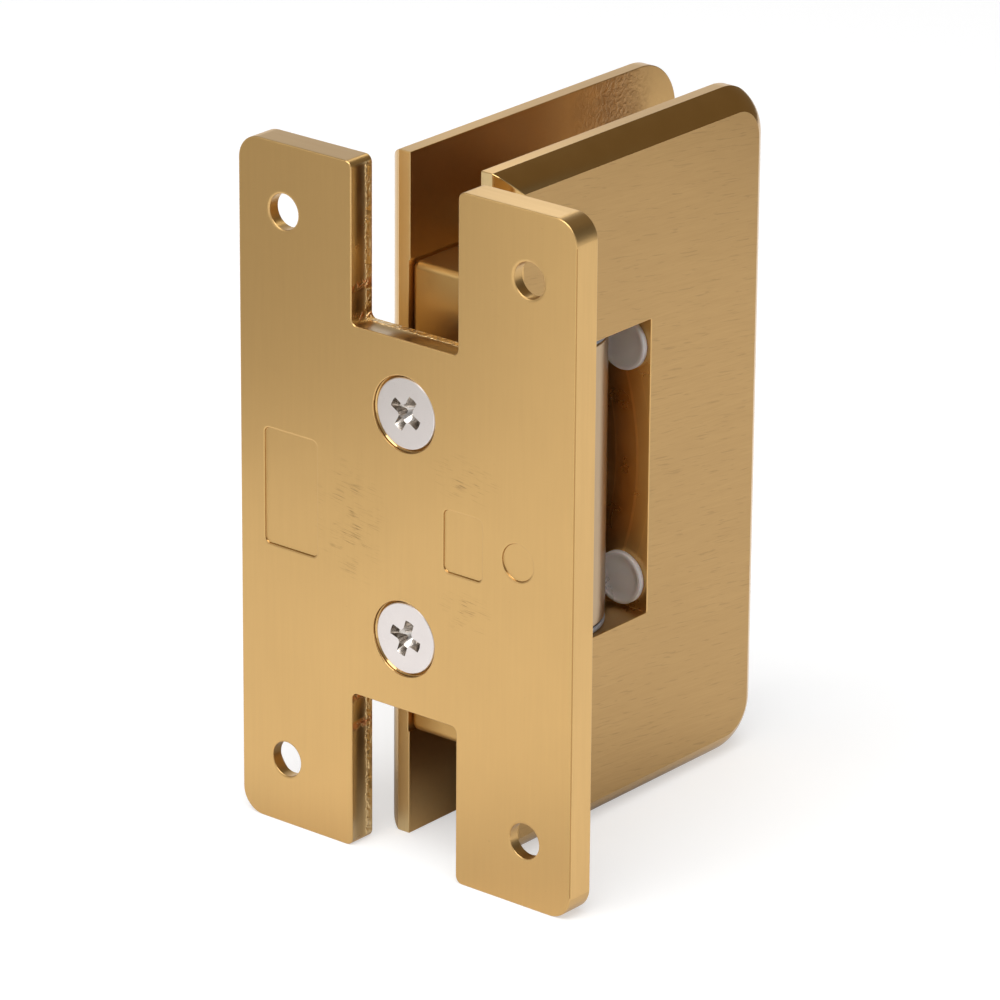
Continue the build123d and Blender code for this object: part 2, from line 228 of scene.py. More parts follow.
def add_turned(name: str, rings: Rings, start: Point, towards: Point, sides: int = 64) -> Piece:
    """Turn a closed solid, as on a lathe, by extruding and scaling a disc along its axis.

    Args:
        name: The object's name.
        rings: The outline as (radius, height) pairs in millimetres, from end to end.
        start: The place of height zero on the axis, in millimetres.
        towards: The direction in which the heights grow.
        sides: How many sides the turned form has.

    Returns:
        The solid, with its place in its mesh.
    """
    pick_only()
    radius, height = rings[0]
    bpy.ops.mesh.primitive_circle_add(
        vertices=sides, radius=radius * MM, fill_type="NGON", location=(0, 0, height * MM)
    )
    piece = bpy.context.object
    piece.name = name
    settle(piece)
    with editing(piece):
        for next_radius, next_height in rings[1:]:
            rise = (next_height - height) * MM
            bpy.ops.mesh.extrude_region_move(TRANSFORM_OT_translate={"value": (0, 0, rise)})
            ratio = next_radius / radius
            centre = (0, 0, next_height * MM)
            bpy.ops.transform.resize(value=(ratio, ratio, 1), center_override=centre)
            radius, height = next_radius, next_height
        bpy.ops.mesh.select_all(action="SELECT")
        bpy.ops.mesh.normals_make_consistent(inside=False)
    stand(piece, start, towards)
    return piece


def rolled(radius: float, flare: float, drop: float) -> list[tuple[float, float]]:
    """The outline of a hole's rolled rim, from above the surface down to its bore.

    Args:
        radius: The bore's radius.
        flare: How much wider the rim is at the surface.
        drop: How deep the rim reaches.

    Returns:
        The outline as (radius, height) pairs in millimetres.
    """
    rings = [(radius + flare * 1.5, -1.0), (radius + flare * 1.3, -drop * 0.1)]
    for turn in (math.radians(22.5 * i) for i in range(1, 5)):
        rings.append((radius + flare * (1 - math.sin(turn)), drop * (1 - math.cos(turn))))
    return rings


def inset_face(piece: Piece, facing: Vector, steps: Rings) -> None:
    """Step the face that looks one way inwards and outwards, again and again.

    Args:
        piece: The object.
        facing: The direction that the face looks in.
        steps: How far each step goes inwards and outwards, in millimetres.
    """
    with editing(piece, "DESELECT"):
        select_parts(piece, "FACE", lambda face: face.normal.dot(facing) > 0.99)
        for inwards, outwards in steps:
            bpy.ops.mesh.inset(
                thickness=inwards * MM, depth=outwards * MM, use_even_offset=True
            )


def combine(piece: Piece, tool: Piece, cut: Cut = Cut.AWAY) -> None:
    """Cut one solid with another, or join or share them, and delete the tool.

    Args:
        piece: The solid that is kept.
        tool: The solid that acts on it.
        cut: What the tool does.
    """
    apply_step(piece, "BOOLEAN", operation=cut.value, object=tool, solver="EXACT")
    bpy.data.objects.remove(tool, do_unlink=True)


def drill(piece: Piece, radius: float, start: Point, end: Point, sides: int = 48) -> None:
    """Drill a round bore.

    Args:
        piece: The solid that is drilled.
        radius: The bore's radius, in millimetres.
        start: Where the bore starts, in millimetres.
        end: Where it ends, in millimetres.
        sides: How many sides it has.
    """
    way = Vector(end) - Vector(start)
    rings = [(radius, 0), (radius, way.length)]
    combine(piece, add_turned("bore", rings, start, tuple(way), sides))


def bevel_chosen(
    piece: Piece, width: float, segments: int, chosen: Callable[[Vector, Vector], bool]
) -> None:
    """Round the edges that a test picks.

    Args:
        piece: The object.
        width: How far the rounding reaches along each face, in millimetres.
        segments: How many strips make the rounding.
        chosen: Says of an edge's two ends, in millimetres, whether it is rounded.
    """
    with editing(piece, "DESELECT"):
        select_parts(
            piece, "EDGE", lambda edge: chosen(*(in_mm(corner.co) for corner in edge.verts))
        )
        bpy.ops.mesh.bevel(
            offset=width * MM, segments=segments, affect="EDGES", clamp_overlap=True
        )


def is_along(a: Vector, b: Vector, along: Along) -> bool:
    """Say whether an edge runs in one direction.

    Args:
        a: One end of the edge, in millimetres.
        b: Its other end.
        along: The direction.

    Returns:
        True if it does.
    """
    way = b - a
    others = [abs(way[i]) for i in range(3) if i != along.value]
    return max(others) < NEAR and abs(way[along.value]) > NEAR


def soften(piece: Piece, width: float, segments: int, angle: float = 30) -> None:
    """Round every edge that turns by more than an angle.

    Args:
        piece: The object.
        width: How far the rounding reaches along each face, in millimetres.
        segments: How many strips make the rounding.
        angle: The angle, in degrees.
    """
    apply_step(
        piece, "BEVEL", width=width * MM, segments=segments, limit_method="ANGLE",
        angle_limit=math.radians(angle), miter_outer="MITER_ARC",
    )


def clean(piece: Piece) -> None:
    """Merge doubled points, drop slivers and turn every face outwards.

    Args:
        piece: The object.
    """
    with editing(piece):
        bpy.ops.mesh.remove_doubles(threshold=1e-7)
        bpy.ops.mesh.dissolve_degenerate(threshold=1e-7)
        bpy.ops.mesh.select_all(action="SELECT")
        bpy.ops.mesh.normals_make_consistent(inside=False)


class Bench:
    """The nodes of a material or of the world, while they are wired."""

    def __init__(self, holder: bpy.types.Material | bpy.types.World) -> None:
        """Take up the nodes of a material or of the world."""
        holder.use_nodes = True
        self.tree = holder.node_tree

    def feed(self, node: Node, inputs: dict[str | int, object]) -> None:
        """Give a node's inputs what goes into them.

        Args:
            node: The node.
            inputs: Sockets and values, by the input's name or number.
        """
        for name, value in inputs.items():
            if isinstance(value, Socket):
                self.tree.links.new(value, node.inputs[name])
            else:
                node.inputs[name].default_value = value

    def add(
        self, kind: str, inputs: dict[str | int, object] | None = None, **settings: object
    ) -> Node:
        """Add a node.

        Args:
            kind: The node's type, without the ShaderNode in front.
            inputs: What goes into its inputs.
            settings: The values of its properties.

        Returns:
            The node.
        """
        node = self.tree.nodes.new("ShaderNode" + kind)
        for name, value in settings.items():
            setattr(node, name, value)
        self.feed(node, inputs or {})
        return node

    def show(self, shader: Node, end: str = "Material Output") -> None:
        """Show a shader of one's own in place of the usual one.

        Args:
            shader: The node whose first output is shown.
            end: The name of the output node.
        """
        usual = self.tree.nodes.get("Principled BSDF")
        if usual:
            self.tree.nodes.remove(usual)
        self.feed(self.tree.nodes[end], {"Surface": shader.outputs[0]})

    def place(self, size: Point, turn: Point = (0, 0, 0), centre: Point = (0, 0, 0)) -> Socket:
        """The object's own coordinates, turned and then measured in a pattern's size.

        Args:
            size: How long one cycle of the pattern is along X, Y and Z, in millimetres.
            turn: The turn of the pattern, in radians.
            centre: The middle of the pattern, in millimetres.

        Returns:
            The coordinates.
        """
        inputs = {
            "Vector": self.add("TexCoord").outputs["Object"],
            "Location": in_metres(centre),
            "Rotation": turn,
            "Scale": in_metres(size),
        }
        return self.add("Mapping", inputs, vector_type="TEXTURE").outputs["Vector"]

    def noise(
        self, size: Point, detail: float, rough: float, warp: float = 0.0,
        turn: Point = (0, 0, 0),
    ) -> Socket:
        """A noise between 0 and 1 over the object's coordinates.

        Args:
            size: How long its grains are along X, Y and Z, in millimetres.
            detail: How many finer layers the noise has.
            rough: How strong the finer layers are.
            warp: How much the noise distorts itself.
            turn: The turn of the pattern, in radians.

        Returns:
            The noise's value.
        """
        inputs = {
            "Vector": self.place(size, turn), "Scale": 1.0, "Detail": detail,
            "Roughness": rough, "Distortion": warp,
        }
        return self.add("TexNoise", inputs).outputs["Fac"]

    def axes(self) -> dict[str, Socket]:
        """The object's own X, Y and Z, in millimetres."""
        apart = self.add("SeparateXYZ", {0: self.place((1, 1, 1))})
        return {name: apart.outputs[name] for name in "XYZ"}

    def distance(self, centre: Point, reach: Point) -> Socket:
        """How far a place is from a centre, as a share of a reach along each axis."""
        where = self.place(reach, centre=centre)
        return self.add("VectorMath", {0: where}, operation="LENGTH").outputs["Value"]

    def near_point(self, centre: Point, reach: Point) -> Socket:
        """A soft spot that is 1 in its middle and 0 beyond its reach."""
        return self.spread(self.distance(centre, reach), 0.35, 1.0, 1.0, 0.0)

    def spread(
        self, value: Socket, low: float, high: float, start: float, end: float,
        curve: str = "LINEAR",
    ) -> Socket:
        """Map a value from one span to another, held at both ends.

        Args:
            value: The value.
            low: Where the first span starts.
            high: Where it ends.
            start: What the value becomes at the first span's start.
            end: What it becomes at its end.
            curve: How it goes from one to the other.

        Returns:
            The mapped value.
        """
        inputs = {
            "Value": value, "From Min": low, "From Max": high, "To Min": start, "To Max": end
        }
        return self.add("MapRange", inputs, interpolation_type=curve).outputs["Result"]

    def sum_of(self, kind: str, *values: Socket | float) -> Socket:
        """Work out a sum, from the left.

        Args:
            kind: The sum's kind.
            values: What goes into it.

        Returns:
            The result.
        """
        total = values[0]
        for value in values[1:] or (0.0,):
            total = self.add("Math", {0: total, 1: value}, operation=kind).outputs["Value"]
        return total

    def blend(self, share: Socket, first: Socket | Colour, second: Socket | Colour) -> Socket:
        """Mix two colours.

        Args:
            share: How much of the second there is.
            first: The first colour.
            second: The second colour.

        Returns:
            The mixed colour.
        """
        inputs = {"Factor": share}
        for number, colour in ((6, first), (7, second)):
            inputs[number] = colour if isinstance(colour, Socket) else (*colour, 1)
        return self.add("Mix", inputs, data_type="RGBA").outputs[2]

    def shades(self, share: Socket, colour: Colour, dark: float, light: float) -> Socket:
        """Mix a darker and a lighter shade of one colour."""
        return self.blend(share, shaded(colour, dark), shaded(colour, light))

    def uneven(
        self, value: Socket, roughness: float, low: float = 0.85, high: float = 1.2
    ) -> Socket:
        """A roughness that follows a noise between two shares of itself."""
        return self.spread(value, 0.3, 0.7, roughness * low, roughness * high)

    def bump(self, height: Socket, depth: float) -> Socket:
        """Raise the surface by a height, by at most a depth in millimetres."""
        inputs = {"Strength": 1.0, "Distance": depth * MM, "Height": height}
        return self.add("Bump", inputs).outputs["Normal"]


def streak(along: Along, length: float, width: float) -> Point:
    """The grain of lines of this length and width that run one way, in millimetres."""
    return tuple(length if i == along.value else width for i in range(3))


def even(size: float) -> Point:
    """The same size along each axis."""
    return (size, size, size)


def shaded(colour: Colour, share: float) -> Colour:
    """A colour made darker or lighter by a share."""
    return tuple(channel * share for channel in colour)


@dataclass(frozen=True)
class Finish:
    """What all finishes have, with the shader's sockets that are the same all over."""

    name: str
    colour: Colour
    roughness: float

    def wire(self, bench: Bench) -> Look:
        """Wire the finish.

        Args:
            bench: The nodes of its material.

        Returns:
            Its colour, its roughness and its bumped normal.
        """
        raise NotImplementedError

    def constants(self) -> dict[str, float]:
        """The sockets of a metal that are the same all over."""
        return {"Metallic": 1.0}

    def material(self) -> bpy.types.Material:
        """Make the finish.

        Returns:
            The material.
        """
        material = bpy.data.materials.new(self.name)
        bench = Bench(material)
        wired = dict(zip(("Base Color", "Roughness", "Normal"), self.wire(bench)))
        bench.feed(bench.tree.nodes["Principled BSDF"], {**wired, **self.constants()})
        return material


@dataclass(frozen=True)
class LinedBrass(Finish):
    """Satin or brushed brass with fine lines in one direction and a few darker ticks."""

    along: Along
    line_length: float
    line_width: float
    line_depth: float
    contrast: float
    ticks: float = 0.0
    slant: float = 0.0
    cloud: float = 0.03

    def wire(self, bench: Bench) -> Look:
        """Wire long and short lines over a faint cloud."""
        turn, steep = ((0, math.radians(self.slant * i), 0) for i in (1, 2))
        length, width = self.line_length, self.line_width
        fine = bench.noise(streak(self.along, length, width), 3, 0.6, 0.2, turn)
        broad = bench.noise(streak(self.along, length * 3, width * 4), 2, 0.5, 0.1, turn)
        lines = height = bench.sum_of("ADD", fine, bench.sum_of("MULTIPLY", broad, 0.5))
        cloud = bench.spread(bench.noise(even(22), 3, 0.5), 0.3, 0.7, 0, 1)
        light = bench.shades(cloud, self.colour, 1 - self.cloud, 1 + self.cloud)
        tone = bench.spread(lines, 0.5, 1.0, 0, 1)
        colour = bench.blend(tone, shaded(self.colour, 1 - self.contrast), light)
        if self.ticks:
            short = streak(self.along, length * 0.8, width * 1.6)
            marks = bench.noise(short, 1, 0.4, 0.5, steep)
            marks = bench.spread(marks, 0.63, 0.75, 0, self.ticks)
            colour = bench.blend(marks, colour, shaded(self.colour, 0.5))
            height = bench.sum_of("SUBTRACT", lines, marks)
        rough = bench.spread(lines, 0.5, 1.0, self.roughness * 1.1, self.roughness * 0.93)
        return colour, rough, bench.bump(height, self.line_depth)


@dataclass(frozen=True)
class SatinPlate(Finish):
    """Soft satin brass with faint upright lines and three patches of rubbed scuffs."""

    scuff_spots: tuple[tuple[Point, Point], ...] = (
        ((0, 8.6, -1.5), (2, 6.6, 9.5)),
        ((0, -9.5, 8.5), (2, 6.0, 3.6)),
        ((0, -9.8, -8.6), (2, 4.5, 3.6)),
    )
    scuff_tone: float = 0.55
    scuff_share: float = 0.85
    scuff_slant: float = 7.0
    depth: float = 0.012

    def wire(self, bench: Bench) -> Look:
        """Wire the lines and the cloud, and the scuffs in their spots."""
        lines = bench.noise(streak(Along.Z, 12, 0.5), 4, 0.6, 0.2)
        cloud = bench.noise(even(16), 3, 0.55)
        tone = bench.sum_of("ADD", bench.sum_of("MULTIPLY", lines, 0.7), cloud)
        tone = bench.spread(tone, 0.55, 1.15, 0, 1)
        colour = bench.shades(tone, self.colour, 0.965, 1.02)
        turn = (math.radians(self.scuff_slant), 0, 0)
        scratches = bench.noise(streak(Along.Y, 3.2, 0.16), 2, 0.6, 0.4, turn)
        scratches = bench.spread(scratches, 0.54, 0.68, 0, 1)
        patchy = bench.spread(bench.noise(even(2.2), 2, 0.5), 0.4, 0.6, 0, 1)
        spots = (bench.near_point(*spot) for spot in self.scuff_spots)
        marks = bench.sum_of("MULTIPLY", scratches, patchy)
        worn = bench.sum_of("MULTIPLY", bench.sum_of("MAXIMUM", *spots), marks)
        share = bench.sum_of("MULTIPLY", worn, self.scuff_share)
        colour = bench.blend(share, colour, shaded(self.colour, self.scuff_tone))
        specks = bench.spread(bench.noise(even(0.5), 1, 0.5), 0.76, 0.82, 0, 0.3)
        colour = bench.blend(specks, colour, shaded(self.colour, 0.75))
        rough = bench.spread(tone, 0, 1, self.roughness * 1.06, self.roughness * 0.95)
        height = bench.sum_of("SUBTRACT", bench.sum_of("MULTIPLY", tone, 0.3), worn)
        return colour, rough, bench.bump(height, self.depth)


@dataclass(frozen=True)
class PolishedBrass(Finish):
    """Bright brass with a faint haze and long soft ripples."""

    ripple_depth: float = 0.004

    def wire(self, bench: Bench) -> Look:
        """Wire the haze and the ripples."""
        haze = bench.noise(even(3), 4, 0.6)
        colour = bench.shades(haze, self.colour, 0.95, 1.05)
        ripple = bench.noise((9, 4, 4), 2, 0.5, 0.4)
        return colour, bench.uneven(haze, self.roughness), bench.bump(ripple, self.ripple_depth)


@dataclass(frozen=True)
class CastBrass(Finish):
    """Smooth plated casting whose skin stays pitted and uneven over one stretch, with painted shade
    in the pits.
    """

    skin: Colour
    # The darker colour of the painted shade in the pits.
    hollow: Colour
    grain: float
    depth: float
    pitted_from: float
    pitted_to: float = 49.0
    smooth_share: float = 0.05

    def wire(self, bench: Bench) -> Look:
        """Wire the pits, with painted shade in them, which fade in and out along X."""
        dimples = bench.noise(even(self.grain), 3, 0.55, 0.6)
        patches = bench.noise(even(self.grain * 6), 2, 0.5)
        along, least = bench.axes()["X"], self.smooth_share
        rise = bench.spread(along, self.pitted_from - 8, self.pitted_from, least, 1)
        fall = bench.spread(along, self.pitted_to, self.pitted_to + 6, 1, least)
        share = bench.sum_of("MINIMUM", rise, fall)
        both = bench.sum_of("MULTIPLY", bench.sum_of("ADD", dimples, patches), 0.5)
        # Painted shade: the pits, and at random some larger patches, take the darker hollow colour.
        tone = bench.sum_of("MULTIPLY", bench.spread(both, 0.58, 0.42, 0, 0.8), share)
        colour = bench.blend(tone, bench.blend(share, self.colour, self.skin), self.hollow)
        rough = bench.spread(both, 0.35, 0.65, self.roughness * 1.1, self.roughness * 0.9)
        height = bench.sum_of("MULTIPLY", dimples, share)
        return colour, rough, bench.bump(height, self.depth)


@dataclass(frozen=True)
class SawnBrass(Finish):
    """A sheared wall: a smooth hollow band with painted shade in its middle, a ragged bead behind
    it and torn specks.
    """

    # The colour of the painted shade in the hollow band's middle.
    groove_shade: Colour
    speck: Colour
    band: tuple[float, float] = (0.1, 2.9)
    bead: tuple[float, float] = (2.65, 3.85)
    torn_heights: tuple[float, ...] = (28.9, 24.9)
    wall: tuple[float, float] = (8.1, 8.35)
    depth: float = 0.14

    def wire(self, bench: Bench) -> Look:
        """Wire the band, the bead and the specks across the wall's thickness."""
        axes = bench.axes()
        ragged = bench.noise(even(0.9), 2, 0.55, 0.5)
        across = bench.spread(axes["X"], *self.band, -1, 1)
        hollow = bench.sum_of("MULTIPLY", across, across)
        wavy = bench.sum_of("ADD", axes["X"], bench.spread(ragged, 0.3, 0.7, -0.2, 0.2))
        start, end = self.bead
        rise = bench.spread(wavy, start, start + 0.12, 0, 1)
        bead = bench.sum_of("MULTIPLY", rise, bench.spread(wavy, end, end + 0.1, 1, 0.3))
        lumps = bench.sum_of("MULTIPLY", bead, bench.spread(ragged, 0.35, 0.65, 0.2, 1.4))
        aside, above = (bench.sum_of("ABSOLUTE", axes[name]) for name in "YZ")
        rows = []
        for height in self.torn_heights:
            gap = bench.sum_of("ABSOLUTE", bench.sum_of("SUBTRACT", above, height))
            rows.append(bench.spread(gap, 0.25, 0.75, 1, 0))
        torn = bench.sum_of(
            "MULTIPLY", bench.sum_of("MAXIMUM", *rows),
            bench.spread(ragged, 0.42, 0.55, 0, 1), bench.spread(aside, *self.wall, 0, 1),
        )
        raised = (bench.sum_of("MULTIPLY", hollow, 1.6), lumps, bench.sum_of("MULTIPLY", torn, 0.8))
        # Painted shade: the hollow band's middle takes the darker groove colour.
        tone = bench.sum_of("MAXIMUM", bench.spread(hollow, 0.1, 1, 0, 0.7), bead)
        base = bench.blend(tone, self.groove_shade, self.colour)
        colour = bench.blend(bench.sum_of("MULTIPLY", torn, 0.9), base, self.speck)
        rough = bench.uneven(bench.noise(even(3), 1, 0.5), self.roughness, 0.9, 1.1)
        return colour, rough, bench.bump(bench.sum_of("ADD", *raised), self.depth)


@dataclass(frozen=True)
class MilledBrass(Finish):
    """A machined wall with the cutter's long shallow arcs, and painted highlights on a few of them.
    """

    centre: Point
    pitch: float = 0.9
    depth: float = 0.012

    def wire(self, bench: Bench) -> Look:
        """Wire the arcs round the cutter's centre, with painted highlights (glints) on a few."""
        inputs = {"W": bench.distance(self.centre, even(self.pitch)), "Scale": 1.0, "Detail": 3.0}
        arcs = bench.add("TexNoise", inputs, noise_dimensions="1D").outputs["Fac"]
        cloud = bench.noise(even(5), 3, 0.6)
        colour = bench.shades(cloud, self.colour, 0.88, 1.06)
        # Painted highlight: a few arcs get a lighter copy of the colour as glints.
        painted_glint = bench.spread(arcs, 0.62, 0.72, 0, 0.5)
        colour = bench.blend(painted_glint, colour, shaded(self.colour, 1.5))
        return colour, bench.uneven(cloud, self.roughness), bench.bump(arcs, self.depth)


@dataclass(frozen=True)
class Steel(Finish):
    """Turned or drawn steel with a faint grain."""

    along: Along = Along.X
    grain_depth: float = 0.002

    def wire(self, bench: Bench) -> Look:
        """Wire the grain over a faint cloud."""
        grain = bench.noise(streak(self.along, 1.5, 0.12), 3, 0.6)
        colour = bench.shades(bench.noise(even(4), 3, 0.5), self.colour, 0.95, 1.04)
        return colour, bench.uneven(grain, self.roughness), bench.bump(grain, self.grain_depth)


@dataclass(frozen=True)
class Plastic(Finish):
    """A moulded plastic, solid or see-through."""

    clear: float = 0.0
    scatter: float = 0.0

    def wire(self, bench: Bench) -> Look:
        """Wire a faint cloud and a moulded unevenness."""
        cloud = bench.noise(even(3), 3, 0.5)
        colour = bench.shades(cloud, self.colour, 0.96, 1.03)
        rough = bench.uneven(cloud, self.roughness, 0.9, 1.15)
        return colour, rough, bench.bump(bench.noise(even(1.1), 2, 0.5), 0.004)

    def constants(self) -> dict[str, float]:
        """The sockets of a plastic that are the same all over."""
        return {
            "Metallic": 0.0, "IOR": 1.46, "Transmission Weight": self.clear,
            "Subsurface Weight": self.scatter, "Subsurface Scale": MM,
        }


@lru_cache
def made(finish: Finish) -> bpy.types.Material:
    """The material of a finish, made once."""
    return finish.material()


BRASS: Colour = (0.60, 0.382, 0.152)
# The housing between the clamp plates is a darker copy of the brass, painted shade.
SHADED_HOUSING_BRASS: Colour = (0.52, 0.325, 0.12)

SATIN_PLATE = SatinPlate("satin_plate", BRASS, 0.34)
# Its second colour is the painted shade in the hollow band's middle.
SAWN_NOTCH = SawnBrass(
    "sawn_notch", (0.74, 0.53, 0.26), 0.3, (0.38, 0.25, 0.11), (0.62, 0.25, 0.1)
)
POLISHED_SEAT = PolishedBrass("polished_seat", BRASS, 0.1)
# The panels' steep edge walls are a darker brass, painted shade in the recess.
STAMPED_EDGE_SHADED = PolishedBrass("stamped_edge_shaded", (0.42, 0.25, 0.09), 0.22)
# The plate's sides are a lighter copy of the brass, painted light, over real upright lines.
PLATE_SIDE_LIT = LinedBrass("plate_side_lit", shaded(BRASS, 1.1), 0.32, Along.Z, 9.0, 0.4, 0.001, 0.03)
# The arms' top ends are a darker copy of the brass, painted shade, over real lines.
PLATE_END_SHADED = LinedBrass("plate_end_shaded", shaded(BRASS, 0.84), 0.32, Along.Y, 9.0, 0.4, 0.001, 0.03)
PLATE_FINISHES = (SATIN_PLATE, SAWN_NOTCH, POLISHED_SEAT, STAMPED_EDGE_SHADED, PLATE_SIDE_LIT, PLATE_END_SHADED)

SATIN_RIM = LinedBrass("satin_rim", BRASS, 0.30, Along.X, 5.0, 0.3, 0.0015, 0.04)
# The outer faces' brass is a darker copy, painted shade, under real brush lines and ticks.
BRUSHED_CLAMP_SHADED = LinedBrass(
    "brushed_clamp_shaded", (0.53, 0.336, 0.139), 0.44, Along.X, 4.0, 0.14, 0.003, 0.045, 0.3, 4.5
)
POLISHED_BEVEL = PolishedBrass("polished_bevel", BRASS, 0.18)
# The last colour of each cast finish is the painted shade in its pits.
CAST_INSIDE = CastBrass(
    "cast_inside", (0.6, 0.375, 0.15), 0.32, (0.43, 0.245, 0.095), (0.31, 0.17, 0.06),
    0.6, 0.085, 46,
)
CAST_HOUSING_SHADED = CastBrass(
    "cast_housing_shaded", SHADED_HOUSING_BRASS, 0.34, SHADED_HOUSING_BRASS, (0.44, 0.26, 0.09), 2.2, 0.03, 80
)
# The window's walls are a lighter copy of the brass, painted light.
MILLED_WINDOW_LIT = MilledBrass("milled_window_lit", shaded(BRASS, 1.12), 0.3, (35.5, 30.0, 0.0))
# The clamp's near end faces are a paler copy of the brass, painted light, over real lines.
CLAMP_END_LIT = LinedBrass("clamp_end_lit", (0.8, 0.6, 0.31), 0.4, Along.Z, 6.0, 0.3, 0.0015, 0.04)
CLAMP_FINISHES = (
    SATIN_RIM, BRUSHED_CLAMP_SHADED, POLISHED_BEVEL, CAST_INSIDE, CAST_HOUSING_SHADED, MILLED_WINDOW_LIT, CLAMP_END_LIT
)
KNUCKLE_BRASS = LinedBrass(
    "knuckle_brass", (0.46, 0.33, 0.2), 0.3, Along.Z, 8.0, 0.3, 0.001, 0.05
)
BRIGHT_SCREW = Steel("bright_screw", (0.71, 0.66, 0.64), 0.32)
# The cross is a smoother steel whose darker colour is painted shade in the recess.
SCREW_CROSS_SHADED = Steel("screw_cross_shaded", (0.58, 0.54, 0.5), 0.16)
PLATED_SCREW = PolishedBrass("plated_screw", BRASS, 0.2)
SPRING_STEEL = Steel("spring_steel", (0.45, 0.45, 0.46), 0.35)
PIN_STEEL = Steel("pin_steel", (0.58, 0.58, 0.59), 0.25, Along.Z)
DARK_STEEL = Steel("dark_steel", (0.20, 0.20, 0.21), 0.4)
GREY_PLASTIC = Plastic("grey_plastic", (0.22, 0.22, 0.235), 0.35)
CLEAR_PLASTIC = Plastic("clear_plastic", (0.8, 0.74, 0.71), 0.3, 0.35, 0.1)


def dress_node(name: str, finish: Finish) -> None:
    """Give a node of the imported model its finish.

    Args:
        name: The node's name.
        finish: Its finish.
    """
    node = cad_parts[name]
    node.data.materials.clear()
    node.data.materials.append(made(finish))
    LOG.info("%s: dressed", name)


def hand_over(
    piece: Piece,
    finishes: Sequence[Finish],
    body: Body,
    node: str,
    choose: Callable[[Vector, Vector], Finish] | None = None,
    smooth: float = SMOOTH_ANGLE,
) -> None:
    """Shade and dress a finished piece, and let it stand for its node.

    Args:
        piece: The object.
        finishes: Its finishes, the common one first.
        body: The body that it rides on.
        node: The node that it replaces.
        choose: Says from a face's centre in millimetres and its normal which finish it has.
        smooth: Up to what angle its faces are shaded as one, in degrees.
    """
    clean(piece)
    pick_only(piece)
    bpy.ops.object.shade_smooth_by_angle(angle=math.radians(smooth))
    apply_step(piece, "WEIGHTED_NORMAL", keep_sharp=True, weight=80)
    piece.data.materials.clear()
    for finish in finishes:
        piece.data.materials.append(made(finish))
    for face in piece.data.polygons:
        finish = choose(in_mm(face.center), face.normal) if choose else finishes[0]
        face.material_index = finishes.index(finish)
    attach(piece, body.value)
    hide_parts(node)
    LOG.info("%s: %d faces on %s", piece.name, len(piece.data.polygons), body.value)


